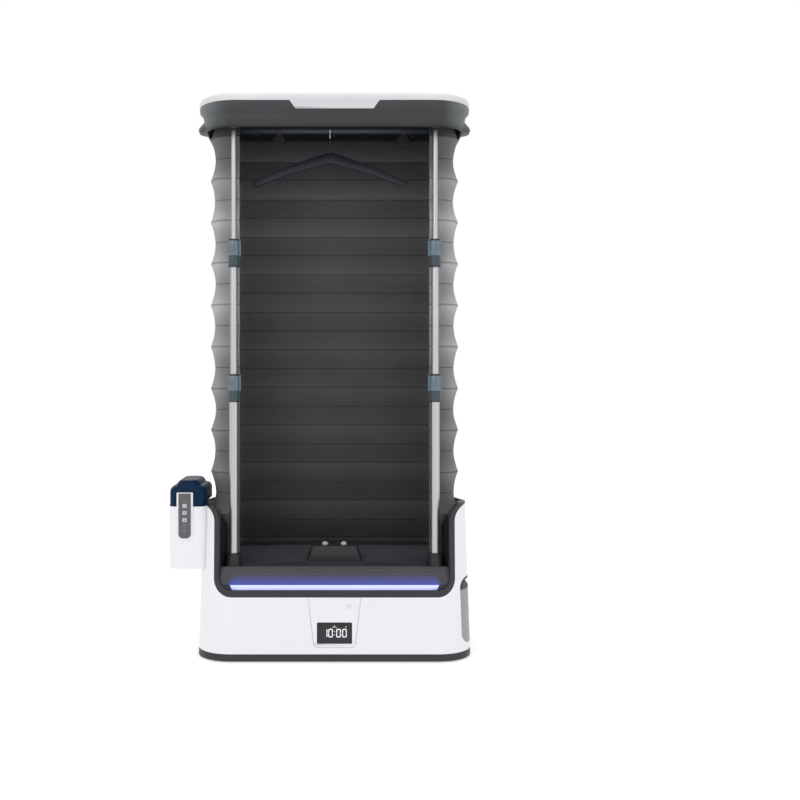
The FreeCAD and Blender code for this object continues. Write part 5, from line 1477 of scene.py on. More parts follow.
@dataclass
class Studio:
    """White room, soft lights and the camera."""

    camera_at: Point = (0.0, -2.655, 0.707)
    lens: float = 44.1
    sensor: float = 36.0
    shift: Pair = (0.0819, -0.025)
    floor_size: float = 14.0
    floor_colour: Colour = (0.80, 0.80, 0.80)
    floor_glow: float = 0.45
    sky: float = 0.76
    sky_colour: Colour = (0.97, 0.985, 1.0)
    lights: tuple[SoftLight, ...] = (
        SoftLight("key_light", (-1.7, -2.9, 2.3), (0.0, 0.0, 0.75), 2.2, 20.0),
        SoftLight("fill_light", (2.3, -2.4, 1.3), (0.0, 0.0, 0.7), 2.4, 9.0),
        SoftLight("top_light", (0.0, -0.4, 3.2), (0.0, 0.0, 1.0), 2.2, 9.0),
    )

    def build(self) -> None:
        """Make the whole studio."""
        bpy.context.scene.view_settings.view_transform = "Standard"
        self._camera()
        self._sky()
        self._floor()
        for light in self.lights:
            light.hang()

    def _camera(self) -> None:
        """Set the camera."""
        data = bpy.data.cameras.new("studio_camera")
        data.lens = self.lens
        data.sensor_width = self.sensor
        data.shift_x, data.shift_y = self.shift
        camera = bpy.data.objects.new("studio_camera", data)
        camera.location = self.camera_at
        camera.rotation_euler = (math.radians(90.0), 0.0, 0.0)
        bpy.context.scene.collection.objects.link(camera)
        bpy.context.scene.camera = camera

    def _sky(self) -> None:
        """White for rays that are seen, softer for light."""
        world = bpy.data.worlds.new("studio_sky")
        bpy.context.scene.world = world
        world.use_nodes = True
        world.node_tree.nodes.clear()
        sky = NodeTree()
        sky.tree = world.node_tree
        path = sky.node("ShaderNodeLightPath")
        seen = path.outputs["Is Camera Ray"]
        for ray in ("Is Glossy Ray", "Is Transmission Ray"):
            either = sky.node("ShaderNodeMath", {"operation": "MAXIMUM"}, {0: seen, 1: path.outputs[ray]})
            seen = either.outputs[0]
        soft = sky.node("ShaderNodeBackground", {}, {"Color": self.sky_colour, "Strength": self.sky})
        white = sky.node("ShaderNodeBackground", {}, {"Color": (1.0, 1.0, 1.0), "Strength": 1.0})
        mixed = sky.node("ShaderNodeMixShader", {}, {0: seen, 1: soft.outputs[0], 2: white.outputs[0]})
        sky.node("ShaderNodeOutputWorld", {}, {0: mixed.outputs[0]})

    def _floor(self) -> None:
        """Pale floor that keeps the shadow."""
        half = self.floor_size / 2
        mesh = bpy.data.meshes.new("studio_floor")
        corners = [(x, y, 0) for x, y in rectangle(-half, half, -half, half)]
        mesh.from_pydata(corners, [], [(0, 1, 2, 3)])
        mesh.materials.append(Shader("studio_floor").paint(
            Base_Color=self.floor_colour, Roughness=0.8, Emission_Color=(1.0, 1.0, 1.0),
            Emission_Strength=self.floor_glow, Specular_IOR_Level=0.1,
        ))
        floor = bpy.data.objects.new("studio_floor", mesh)
        bpy.context.scene.collection.objects.link(floor)


# ---------------------------------------------------------------- base
@dataclass
class BaseCase:
    """Case on rubber feet with its frame, liners, deck and light bar."""

    tray_screw: ScrewHead = ScrewHead(0.0042, 0.0018)
    tray_screw_x: tuple[float, ...] = (-0.20, 0.0, 0.20)
    tray_screw_y: float = 0.165
    tray_end_x: float = 0.31
    tray_bottom: float = 0.003
    foot_bead: RoundRing = RoundRing(0.0141, 0.0007, Finish.RUBBER)
    foot_at: Pair = (0.288, 0.142)
    bead_z: float = 0.0016
    pole_seal: RoundRing = RoundRing(0.0141, 0.0012, Finish.RUBBER)
    seal_z: float = 0.2655
    driver: RoundedPlate = RoundedPlate(0.004, 0.002, 0.0009, 0.0003, Finish.BLACK_GLOSS)
    driver_x: Row = Row(-0.245, 0.49 / 23, 24)
    driver_y: float = -0.1836
    driver_z: float = 0.1845
    corner_at: Pair = (0.259, 0.211)
    corner_radius: float = 0.0317
    corner_steps: int = 9
    block_foot: Pair = (0.2586, 0.1793)
    block_head: Pair = (0.2636, 0.1907)
    block_y: float = -0.1917
    block_depth: float = 0.006

    def build(self) -> None:
        """Dress the case."""
        Bench.finish(
            ("base_shell", Finish.WHITE, 1.2, 3),
            ("rim_frame", Finish.DARK, 1.0),
            ("deck", Finish.DECK, 0.8),
            ("side_liners", Finish.LINER, 0.8),
            ("pole_sockets", Finish.INNER, 1.2),
            ("bottom_tray", Finish.TRAY, 0.8),
            ("rubber_feet", Finish.RUBBER, 1.0),
            ("led_bar", Finish.LIGHT_BAR, 0.6),
            ("led_strip", Finish.LAMPS),
        )
        self._fittings()

    def _fittings(self) -> None:
        """Tray screws, beads on the feet, pole seals, and the light bar's drivers and end blocks."""
        screws = [(x, side * self.tray_screw_y, self.tray_bottom) for x in self.tray_screw_x for side in SIDES]
        screws += [(side * self.tray_end_x, 0.0, self.tray_bottom) for side in SIDES]
        self.tray_screw.fit("tray_screws", "bottom_tray", screws, [DOWN])
        x, y = self.foot_at
        feet = [(0.0, 0.0, self.bead_z)] + [(sx * x, sy * y, self.bead_z) for sx in SIDES for sy in SIDES]
        self.foot_bead.fit("foot_beads", "rubber_feet", feet, [UP])
        seals = [(side * POLE_X, POLE_Y, self.seal_z) for side in SIDES]
        self.pole_seal.fit("pole_seals", "pole_sockets", seals, [UP])
        drivers = [(x, self.driver_y, self.driver_z) for x in self.driver_x]
        self.driver.fit("lamp_drivers", "led_strip", drivers, [BACK])
        Bench.model("light_bar_end_blocks", "rim_frame", Finish.DARK, self._end_blocks())

    def _end_blocks(self) -> list[Plate]:
        """Blocks between the light bar's ends and the rounded corners of the frame.

        Returns:
            The left block and the right one.
        """
        x0, z0 = self.corner_at
        turns = [math.radians(5.0 + 45.0 * i / self.corner_steps) for i in range(self.corner_steps + 1)]
        corner = [(x0 + self.corner_radius * math.sin(t), z0 - self.corner_radius * math.cos(t)) for t in turns]
        outline = [self.block_foot, *corner, self.block_head]
        return [
            Plate(
                [(side * x, z) for x, z in outline], lambda u, v, depth: (u, depth + self.block_y, v),
                self.block_depth,
            )
            for side in SIDES
        ]


class Digit(Enum):
    """Bars that are lit for a digit of the clock."""

    NOUGHT = ("top", "bottom", "top_left", "top_right", "low_left", "low_right")
    ONE = ("top_right", "low_right")


@dataclass
class FrontPanel:
    """Clock display, power button and their marks."""

    digit_height: float = 0.0215
    digit_width: float = 0.0118
    stroke: float = 0.0026
    digit_gap: float = 0.0030
    mark_depth: float = 0.0003
    window_z: float = 0.0735
    clock: tuple[tuple[Digit, float], ...] = (
        (Digit.ONE, -1.72), (Digit.NOUGHT, -0.80), (Digit.NOUGHT, 0.55), (Digit.NOUGHT, 1.55),
    )
    clock_u: float = 0.002
    colon_step: float = -0.125
    colon_v: float = 0.0042
    dot_radius: float = 0.0012
    sign_v: float = 0.0165
    lamp_at: Pair = (0.0285, 0.0155)
    lamp_radius: float = 0.0013
    button_at: Pair = (0.036, 0.139)
    ring_radii: Pair = (0.0036, 0.0028)
    ring_gap: float = 34.0
    ring_steps: int = 28
    stem: tuple[float, float, float, float] = (-0.0004, 0.0004, 0.0006, 0.0042)

    def build(self) -> None:
        """Dress the panel and print its marks."""
        Bench.finish(
            ("control_panel", Finish.WHITE, 1.8, 3),
            ("display_window", Finish.BLACK_GLOSS, 0.5),
            ("power_button", Finish.WHITE, 0.4),
        )
        self._digits()
        self._power_mark()

    def _segment(self, flat: bool, u: float, v: float, length: float) -> Outline:
        """One bar with pointed ends.

        Args:
            flat: Whether the bar lies flat.
            u: Sideways place of its middle.
            v: Height of its middle.
            length: Its length.

        Returns:
            Its outline.
        """
        half, thin = length / 2, self.stroke / 2
        tip = [
            (-half, 0), (-half + thin, thin), (half - thin, thin), (half, 0), (half - thin, -thin),
            (-half + thin, -thin),
        ]
        return [(u + a, v + b) if flat else (u + b, v + a) for a, b in tip]

    def _digit(self, digit: Digit, u: float) -> list[Outline]:
        """Lit bars of a digit.

        Args:
            digit: Which digit.
            u: Sideways place of its middle.

        Returns:
            The bars' outlines.
        """
        wide = self.digit_width - self.stroke
        tall = self.digit_height - self.stroke
        left, right = u - wide / 2, u + wide / 2
        bars = {
            "top": (True, u, tall / 2, wide),
            "bottom": (True, u, -tall / 2, wide),
            "top_left": (False, left, tall / 4, tall / 2),
            "top_right": (False, right, tall / 4, tall / 2),
            "low_left": (False, left, -tall / 4, tall / 2),
            "low_right": (False, right, -tall / 4, tall / 2),
        }
        return [self._segment(*bars[name]) for name in digit.value]

    def _digits(self) -> None:
        """The time 10:00 with a small hanger sign and a dot over it, behind the window."""
        at = front_plane("display_window", 0.0, self.window_z)
        step = self.digit_width + self.digit_gap
        shapes: list[Outline] = []
        for digit, place in self.clock:
            shapes += self._digit(digit, place * step + self.clock_u)
        for v in (-self.colon_v, self.colon_v):
            shapes.append(moved(ring_outline(self.dot_radius, 10), self.colon_step * step + self.clock_u, v))
        roof = [
            (-0.0055, -0.003), (0.0, 0.0008), (0.0055, -0.003),
            (0.0055, -0.0042), (0.0, -0.0006), (-0.0055, -0.0042),
        ]
        shapes.append(moved(roof, 0.0, self.sign_v))
        shapes.append(moved(rectangle(-0.0006, 0.0006, 0.0010, 0.0030), 0.0, self.sign_v))
        shapes.append(moved(ring_outline(self.lamp_radius, 10), *self.lamp_at))
        marks = [Plate(shape, at, self.mark_depth) for shape in shapes]
        Bench.model("display_digits", "display_window", Finish.DIGITS, marks)

    def _power_mark(self) -> None:
        """Open ring and bar on the power button."""
        at = front_plane("power_button", *self.button_at, lift=0.00012)
        gap = math.radians(self.ring_gap)
        steps = range(self.ring_steps + 1)
        turns = [math.pi / 2 + gap + (math.tau - 2 * gap) * i / self.ring_steps for i in steps]
        outer, inner = ([(r * math.cos(t), r * math.sin(t)) for t in turns] for r in self.ring_radii)
        shapes = [(outer[i], outer[i + 1], inner[i + 1], inner[i]) for i in steps[:-1]]
        marks = [Plate(shape, at, self.mark_depth) for shape in [*shapes, rectangle(*self.stem)]]
        Bench.model("power_mark", "power_button", Finish.PRINT, marks)


@dataclass
class WasteDrawer:
    """Waste water drawer at the right end of the base."""

    grip_rib: RoundedPlate = RoundedPlate(0.110, 0.0014, 0.0006, 0.0006, Finish.DARK)
    grip_z: Row = Row(0.181, 0.004, 5)
    grip_y: float = -0.05
    tub_rib: RoundedPlate = RoundedPlate(0.090, 0.0022, 0.0012, 0.001, Finish.CLEAR)
    tub_rib_x: Row = Row(0.190, 0.018, 8)
    tub_rib_z: float = 0.092
    tub_walls: Pair = (-0.118, 0.058)

    def build(self) -> None:
        """Dress the drawer."""
        Bench.finish(
            ("drawer_front", Finish.DRAWER_GREY, 1.0),
            ("drawer_grip", Finish.DARK, 1.2),
            ("drawer_tub", Finish.CLEAR, 0.6),
        )
        self._ribs()

    def _ribs(self) -> None:
        """Grip ribs on the handle and stiffening ribs on the tub."""
        origins = [(AWAY_RIGHT, self.grip_y, z) for z in self.grip_z]
        self.grip_rib.fit("grip_ribs", "drawer_grip", *seats("drawer_grip", origins, LEFT), [BACK])
        for name, y, face in zip(("front", "back"), self.tub_walls, (FRONT, BACK)):
            spots = [(x, y, self.tub_rib_z) for x in self.tub_rib_x]
            self.tub_rib.fit(f"tub_ribs_{name}", "drawer_tub", spots, [face], [UP])


class Sign(Enum):
    """Signs on the mode buttons as outlines in millimetres; a bent stroke goes up and comes back."""

    HANGER = (
        ((-3.2, -1.6), (0.0, 1.1), (3.2, -1.6), (3.2, -2.3), (0.0, 0.3), (-3.2, -2.3)),
        ((-0.35, 1.2), (0.35, 1.2), (0.35, 2.6), (-0.35, 2.6)),
    )
    STEAM = (
        ((-2.4, -2.2), (-1.8, -2.2), (-1.3, -0.4), (-1.8, 1.0),
         (-1.4, 2.4), (-2.0, 2.4), (-2.5, 1.0), (-2.0, -0.4)),
        ((-0.3, -2.2), (0.3, -2.2), (0.8, -0.4), (0.3, 1.0), (0.7, 2.4), (0.1, 2.4), (-0.4, 1.0), (0.1, -0.4)),
        ((1.8, -2.2), (2.4, -2.2), (2.9, -0.4), (2.4, 1.0), (2.8, 2.4), (2.2, 2.4), (1.7, 1.0), (2.2, -0.4)),
    )
    DROP = (
        ((0.0, 2.8), (1.0, 1.2), (1.8, -0.4), (1.5, -1.7), (0.6, -2.4),
         (-0.6, -2.4), (-1.5, -1.7), (-1.8, -0.4), (-1.0, 1.2)),
    )

    def outlines(self) -> list[Outline]:
        """Plain outlines of the sign in metres, with its strokes cut into quads.

        Returns:
            The outlines.
        """
        shapes = [[(u * MM, v * MM) for u, v in shape] for shape in self.value]
        if self is Sign.DROP:
            return shapes
        return [
            [shape[i], shape[i + 1], shape[-i - 2], shape[-i - 1]]
            for shape in shapes for i in range(len(shape) // 2 - 1)
        ]


@dataclass
class SidePod:
    """Clean water tank and mode buttons on the left of the base."""

    strip_x: float = -0.380
    button_heights: tuple[float, float, float] = (0.388, 0.370, 0.352)
    lamp_heights: Pair = (0.3385, 0.3245)
    lamp_radius: float = 0.0042
    lamp_hole: float = 0.72
    lamp_dot: float = 0.3
    dash_z: float = 0.4005
    dash: tuple[float, float, float, float] = (-0.004, 0.004, -0.0005, 0.0005)
    mark_depth: float = 0.0003
    level_mark: RoundedPlate = RoundedPlate(0.012, 0.0008, 0.0003, 0.0003, Finish.PRINT)
    level_x: float = -0.395
    level_z: Row = Row(0.262, 0.0125, 9)
    pod_screw: ScrewHead = ScrewHead(0.0035, 0.0016)
    pod_screw_x: Pair = (-0.405, -0.362)
    pod_screw_y: Pair = (-0.145, -0.020)
    below_pod: float = 0.1

    def build(self) -> None:
        """Dress the pod."""
        Bench.finish(
            ("pod_shell", Finish.WHITE, 1.2, 3),
            ("control_strip", Finish.STRIP, 0.6),
        )
        for place, height, sign in zip(("top", "middle", "bottom"), self.button_heights, Sign):
            node = f"mode_button_{place}"
            Bench.finish((node, Finish.KEY, 0.4))
            at = front_plane(node, self.strip_x, height)
            marks = [Plate(outline, at, self.mark_depth) for outline in sign.outlines()]
            Bench.model(f"mode_sign_{place}", node, Finish.STRIP, marks)
        self._lamps()
        Bench.finish(
            ("water_tank", Finish.CLEAR, 0.6),
            ("tank_cap", Finish.CAP, 1.5, 3),
            ("tank_valve", Finish.WORKS),
            ("tank_seat", Finish.RUBBER),
        )
        self._fittings()

    def _fittings(self) -> None:
        """Level marks on the tank and the screws under the pod."""
        marks = seats("water_tank", [(self.level_x, AWAY_FRONT, z) for z in self.level_z], BACK)
        self.level_mark.fit("level_marks", "water_tank", *marks)
        corners = [(x, y, self.below_pod) for x in self.pod_screw_x for y in self.pod_screw_y]
        self.pod_screw.fit("pod_screws", "pod_shell", seats("pod_shell", corners, UP)[0], [DOWN])

    def _lamps(self) -> None:
        """Two dim ring lamps and a short dash on the strip."""
        full = ring_outline(self.lamp_radius)
        hole = ring_outline(self.lamp_radius * self.lamp_hole)
        dot = ring_outline(self.lamp_radius * self.lamp_dot, 12)
        marks: list[Solid] = []
        for height in self.lamp_heights:
            at = front_plane("control_strip", self.strip_x, height)
            marks += [Band(full, hole, at, self.mark_depth), Plate(dot, at, self.mark_depth)]
        at = front_plane("control_strip", self.strip_x, self.dash_z)
        marks.append(Plate(rectangle(*self.dash), at, self.mark_depth))
        Bench.model("strip_lamps", "control_strip", Finish.DIM_MARKS, marks)


@dataclass
class Poles:
    """Telescopic poles with their clamps and levers."""

    clamp_bottoms: tuple[tuple[str, float], ...] = (("lower", 0.651), ("upper", 0.995))
    end_rings: tuple[tuple[str, RoundRing, float], ...] = (
        ("top", RoundRing(0.0133, 0.0011, Finish.LINER), 0.0698),
        ("foot", RoundRing(0.0139, 0.0011, Finish.LINER), 0.0015),
    )
    pin: ScrewHead = ScrewHead(0.0017, 0.0012)
    pin_inset: float = 0.0153
    pin_rise: float = 0.0695
    lever_rib: RoundedPlate = RoundedPlate(0.009, 0.0012, 0.0005, 0.0005, Finish.TEAL)
    rib_rise: Row = Row(0.041, 0.0035, 5)

    def build(self) -> None:
        """Dress both poles."""
        for node in ("lower_tubes", "middle_tubes", "upper_tubes"):
            Bench.finish((node, Finish.TUBE))
        for level, _ in self.clamp_bottoms:
            Bench.finish((f"{level}_collars", Finish.COLLAR, 1.2))
            for side in ("right", "left"):
                Bench.finish((f"{level}_lever_{side}", Finish.TEAL, 0.6))
        for level, bottom in self.clamp_bottoms:
            self._trim(level, bottom)

    def _trim(self, level: str, bottom: float) -> None:
        """Dark rings at the ends of a pair of clamps, pivot pins and grip ribs.

        Args:
            level: Which pair of clamps.
            bottom: Height of their lower ends.
        """
        collars = f"{level}_collars"
        for end, ring, rise in self.end_rings:
            spots = [(side * POLE_X, POLE_Y, bottom + rise) for side in SIDES]
            ring.fit(f"{level}_clamp_{end}_rings", collars, spots, [UP])
        pins = [(side * (POLE_X - self.pin_inset), POLE_Y, bottom + self.pin_rise) for side in SIDES]
        self.pin.fit(f"{level}_pivot_pins", collars, pins, [UP])
        for name, side in zip(("left", "right"), SIDES):
            node = f"{level}_lever_{name}"
            ribs = seats(node, [(side * POLE_X, AWAY_FRONT, bottom + rise) for rise in self.rib_rise], BACK)
            self.lever_rib.fit(f"{node}_ribs", node, *ribs)


Station = tuple[float, float, float, float]


@dataclass
class FabricWall:
    """Pleated cloth that runs round three sides of the chamber."""

    half_x: float = 0.325
    front_y: float = -0.133
    back_y: float = 0.183
    front_radius: float = 0.055
    back_radius: float = 0.075
    edge_x: float = 0.245
    bottom: float = 0.252
    top: float = 1.3897
    pitch: float = 0.10836
    depth: float = 0.012
    roundness: float = 0.92
    seam_half: float = 0.018
    seam_depth: float = 0.09
    thickness: float = 0.0021
    travel: float = 0.737
    hem: float = 0.012
    hem_layers: float = 1.9
    step: float = 0.0105
    rows_per_pitch: int = 24
    extra_rows: tuple[float, ...] = (0.012, 0.482, 0.518, 0.988)
    broad_slack: float = 0.0016
    fine_slack: float = 0.0007
    sway: float = 0.0005
    slack_fade: float = 0.03
    stitch: Stitch = Stitch(0.0052, 0.0036, 0.0009)
    stitch_lift: float = 0.0002
    stitch_drop: float = 0.0035
    rivet: ScrewHead = ScrewHead(0.0021, 0.0007, Finish.DARK)
    rivet_rows: tuple[tuple[str, float, float], ...] = (("bottom", 0.2455, 0.0), ("top", 1.395, 0.009))

    def _line(self, start: Pair, end: Pair, normal: Pair) -> list[Station]:
        """Stations along a straight run, without its end.

        Args:
            start: Plan point where the run starts.
            end: Plan point where it ends.
            normal: Outward normal.

        Returns:
            The stations.
        """
        count = max(1, round(math.dist(start, end) / self.step))
        (x0, y0), (x1, y1) = start, end
        return [(x0 + (x1 - x0) * (i / count), y0 + (y1 - y0) * (i / count), *normal) for i in range(count)]

    def _arc(self, centre: Pair, radius: float, start: float, end: float) -> list[Station]:
        """Stations round a corner, without its end.

        Args:
            centre: Plan point that the corner turns about.
            radius: Radius of the corner.
            start: Angle where it starts, in radians.
            end: Angle where it ends.

        Returns:
            The stations.
        """
        count = max(6, round(abs(end - start) * radius / (self.step * 0.8)))
        turns = [start + (end - start) * i / count for i in range(count)]
        return [
            (centre[0] + radius * math.cos(t), centre[1] + radius * math.sin(t), math.cos(t), math.sin(t))
            for t in turns
        ]

    def path(self) -> list[Station]:
        """Plan of the wall along its ridges, from the left edge round to the right one.

        Returns:
            Stations of the form (x, y, normal x, normal y).
        """
        front_x, front_y = self.half_x - self.front_radius, self.front_y + self.front_radius
        back_x, back_y = self.half_x - self.back_radius, self.back_y - self.back_radius
        hem_end = self.edge_x + self.hem
        hem = (self.edge_x, self.edge_x + 0.0012, hem_end - 0.0008, hem_end, front_x)
        half: list[Station] = []
        for x0, x1 in zip(hem, hem[1:]):
            half += self._line((x0, self.front_y), (x1, self.front_y), (0, -1))
        half += self._arc((front_x, front_y), self.front_radius, -math.pi / 2, 0)
        half += self._line((self.half_x, front_y), (self.half_x, back_y), (1, 0))
        half += self._arc((back_x, back_y), self.back_radius, 0, math.pi / 2)
        half += self._line((back_x, self.back_y), (0, self.back_y), (0, 1))
        left = [(-x, y, -nx, ny) for x, y, nx, ny in half]
        return left + [(0.0, self.back_y, 0.0, 1.0)] + half[::-1]

    def heights(self) -> list[float]:
        """Heights of the mesh rows, closer together at the ridges and at the seams in the valleys.

        Returns:
            Heights from the lowest to the top.
        """
        shares = [i / self.rows_per_pitch for i in range(self.rows_per_pitch)] + list(self.extra_rows)
        pleats = range(int((self.top - self.bottom) / self.pitch) + 1)
        rows = {round(self.bottom + self.pitch * (k + share), 6) for k in pleats for share in shares}
        return sorted(z for z in rows if z < self.top - 0.0012) + [self.top]

    def fold(self, z: float) -> float:
        """Depth of the fold at a height.

        Args:
            z: The height.

        Returns:
            0 on a ridge and 1 in a valley, and a little more at the seam in the valley.
        """
        phase = (z - self.bottom) / self.pitch
        valley = abs(math.sin(math.pi * phase)) ** self.roundness
        seam = max(0.0, 1.0 - abs((phase % 1.0) - 0.5) / self.seam_half)
        return valley + self.seam_depth * seam

    def slack(self, s: float, z: float) -> float:
        """Uneven hang of the cloth.

        Args:
            s: Distance along the path.
            z: The height.

        Returns:
            The way that the cloth hangs out, in metres.
        """
        phase = (z - self.bottom) / self.pitch
        free = abs(math.sin(math.pi * phase))
        broad = noise.noise(Vector((s * 7.0, z * 9.0, 3.1)))
        fine = noise.noise(Vector((s * 26.0, z * 30.0, 7.7)))
        ends = min(1.0, (z - self.bottom) / self.slack_fade, (self.top - z) / self.slack_fade)
        loose = free * (self.broad_slack * broad + self.fine_slack * fine)
        return ends * (loose + self.sway * broad - self.sway)

    def _place(self, station: Station, s: float, z: float, lift: float = 0.0) -> Point:
        """Point on the outside of the cloth.

        Args:
            station: Station of the path.
            s: Distance along the path.
            z: The height.
            lift: Distance above the cloth; less than 0 is inside.

        Returns:
            The point.
        """
        x, y, nx, ny = station
        off = -self.depth * self.fold(z) + self.slack(s, z) + lift
        return (x + nx * off, y + ny * off, z)

    def build(self) -> None:
        """Make the cloth with its stitches and rivets."""
        path = self.path()
        heights = self.heights()
        along = [0.0]
        for here, there in zip(path, path[1:]):
            along.append(along[-1] + math.dist(here[:2], there[:2]))
        profile = [(z, self.depth * self.fold(z)) for z in heights]
        climb = [0.0]
        for low, high in zip(profile, profile[1:]):
            climb.append(climb[-1] + math.dist(low, high))
        mesh = self._mesh(path, heights, along, climb)
        inside = [1 if polygon.vertices[0] >= len(path) * len(heights) else 0 for polygon in mesh.polygons]
        looks = (Finish.CLOTH, Finish.LINING)
        wall = Bench.fit("fabric_wall", mesh, "bellows", *looks, stands_in=True, crease=50.0)
        mesh.polygons.foreach_set("material_index", inside)
        self._squash(wall)
        self._stitches(path, heights, along)
        self._rivets(path)

    def _mesh(
        self, path: list[Station], heights: list[float], along: list[float], climb: list[float]
    ) -> Mesh:
        """Mesh of the cloth with its outside, its inside and a rim.

        Args:
            path: Stations round the wall.
            heights: Heights of the rows.
            along: Distance of each station along the path.
            climb: Distance of each row along the folds.

        Returns:
            The mesh, with the numbers "along", "up" and "fold" on its corners.
        """
        stations = [(z, station, s) for z in heights for station, s in zip(path, along)]
        outer = [self._place(station, s, z) for z, station, s in stations]
        inner = []
        for z, station, s in stations:
            layers = self.hem_layers if min(s, along[-1] - s) < self.hem - 0.0004 else 1.0
            inner.append(self._place(station, s, z, -self.thickness * layers))
        columns, rows = len(path), len(heights)
        total = columns * rows
        faces: list[tuple[int, ...]] = []
        for r in range(rows - 1):
            for c in range(columns - 1):
                a = r * columns + c
                quad = (a, a + 1, a + 1 + columns, a + columns)
                faces += [quad, tuple(total + i for i in reversed(quad))]
        rim = [r * columns for r in range(rows)]
        rim += [(rows - 1) * columns + c for c in range(1, columns)]
        rim += [r * columns + columns - 1 for r in range(rows - 2, -1, -1)]
        rim += list(range(columns - 2, 0, -1))
        faces += [(a, b, b + total, a + total) for a, b in zip(rim, rim[1:] + rim[:1])]
        mesh = bpy.data.meshes.new("fabric_wall")
        mesh.from_pydata(outer + inner, [], faces)
        LOG.info("cloth mesh changed by validate: %s", mesh.validate())
        for name, values in (
            ("along", [along[i % columns] for i in range(total)]),
            ("up", [climb[i // columns] for i in range(total)]),
            ("fold", [self.fold(z) for z, _, _ in stations]),
        ):
            mesh.attributes.new(name, "FLOAT", "POINT").data.foreach_set("value", values * 2)
        return mesh

    def _stitches(self, path: list[Station], heights: list[float], along: list[float]) -> None:
        """Stitches along both hems and along the ridges.

        Args:
            path: Stations round the wall.
            heights: Heights of the rows.
            along: Distance of each station along the path.
        """
        last = len(path) - 3
        lines = [[self._place(path[i], along[i], z, self.stitch_lift) for z in heights] for i in (2, last)]
        for k in range(1, int((self.top - self.bottom) / self.pitch) + 1):
            z = self.bottom + self.pitch * k - self.stitch_drop
            lines.append([self._place(path[i], along[i], z, self.stitch_lift) for i in range(2, last + 1)])
        self._squash(self.stitch.fit("fabric_stitches", "bellows", lines))

    def _rivets(self, path: list[Station]) -> None:
        """Rivets that hold the cloth's two rails.

        Args:
            path: Stations round the wall.
        """
        picked = path[6::8]
        facing = [(nx, ny, 0.0) for _, _, nx, ny in picked]
        for rail, height, inset in self.rivet_rows:
            spots = [(x - nx * inset, y - ny * inset, height) for x, y, nx, ny in picked]
            self.rivet.fit(f"{rail}_rail_rivets", f"bellows_{rail}_rail", spots, facing)

    def _squash(self, piece: Piece) -> None:
        """Give a piece its own copy of its mesh."""
        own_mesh(piece)


@dataclass
class Lid:
    """Lid: white cap on a grey frame."""

    ceiling_screw: ScrewHead = ScrewHead(0.004, 0.0018)
    screw_x: tuple[float, ...] = (-0.22, 0.0, 0.22)
    screw_y: tuple[float, ...] = (-0.09, 0.13)
    below_ceiling: float = 1.30
    rib: RoundedPlate = RoundedPlate(0.190, 0.002, 0.0016, 0.0009, Finish.INNER)
    rib_x: Row = Row(-0.19, 0.038, 11)
    rib_y: float = 0.02
    rib_z: float = 1.4001
    flange: RoundRing = RoundRing(0.0108, 0.0012, Finish.STEEL)
    flange_x: float = 0.2945
    rail_z: float = 1.383

    def build(self) -> None:
        """Dress the lid."""
        Bench.finish(
            ("lid_frame", Finish.LID_DARK, 0.9),
            ("lid_top", Finish.LID_WHITE, 1.2, 3),
            ("lid_ceiling", Finish.INNER, 0.6),
            ("bellows_top_rail", Finish.DARK, 0.6),
            ("bellows_bottom_rail", Finish.DARK, 0.6),
        )
        self._fittings()

    def _fittings(self) -> None:
        """Ceiling screws, ceiling ribs and the rail's end flanges."""
        origins = [(x, y, self.below_ceiling) for x in self.screw_x for y in self.screw_y]
        self.ceiling_screw.fit("ceiling_screws", "lid_ceiling", seats("lid_ceiling", origins, UP)[0], [DOWN])
        ribs = [(x, self.rib_y, self.rib_z) for x in self.rib_x]
        self.rib.fit("ceiling_ribs", "lid_ceiling", ribs, [DOWN], [BACK])
        ends = [(side * self.flange_x, 0.0, self.rail_z) for side in SIDES]
        self.flange.fit("rail_flanges", "hanging_rail", ends, [RIGHT])


@dataclass
class HangingGear:
    """Rail, clips and the hanger."""

    clip_x: tuple[tuple[str, float], ...] = (("left", -0.150), ("right", 0.187))
    tooth: RoundedPlate = RoundedPlate(0.018, 0.0011, 0.0006, 0.0005, Finish.RUBBER)
    tooth_y: float = 0.0040
    tooth_z: Row = Row(1.3465, 0.0028, 5)
    hanger_x: float = -0.012
    ridge: RoundedPlate = RoundedPlate(0.0075, 0.0014, 0.0007, 0.0006, Finish.RUBBER)
    ridge_reach: Row = Row(0.145, 0.005, 9)
    above_hanger: float = 1.5
    ferrule: RoundRing = RoundRing(0.0026, 0.0008, Finish.STEEL)
    ferrule_z: float = 1.3210

    def build(self) -> None:
        """Dress the hanging gear."""
        Bench.finish(("hanging_rail", Finish.RAIL, 0.8))
        for side, _ in self.clip_x:
            Bench.finish((f"rail_clip_{side}", Finish.DARK, 0.5))
        Bench.finish(
            ("hanger_hook", Finish.STEEL),
            ("hanger_body", Finish.HANGER, 1.0),
        )
        self._grips()

    def _grips(self) -> None:
        """Ridges on the clips' blades and on the hanger's shoulders, and the hook's ferrule."""
        for side, x in self.clip_x:
            node = f"rail_clip_{side}"
            for name, y, face in (("front", -self.tooth_y, FRONT), ("back", self.tooth_y, BACK)):
                self.tooth.fit(f"{node}_teeth_{name}", node, [(x, y, z) for z in self.tooth_z], [face])
        reaches = [side * reach for side in SIDES for reach in self.ridge_reach]
        origins = [(self.hanger_x + reach, 0.0, self.above_hanger) for reach in reaches]
        self.ridge.fit("shoulder_ridges", "hanger_body", *seats("hanger_body", origins, DOWN), [BACK])
        self.ferrule.fit("hook_ferrule", "hanger_hook", [(self.hanger_x, 0.0, self.ferrule_z)], [UP])


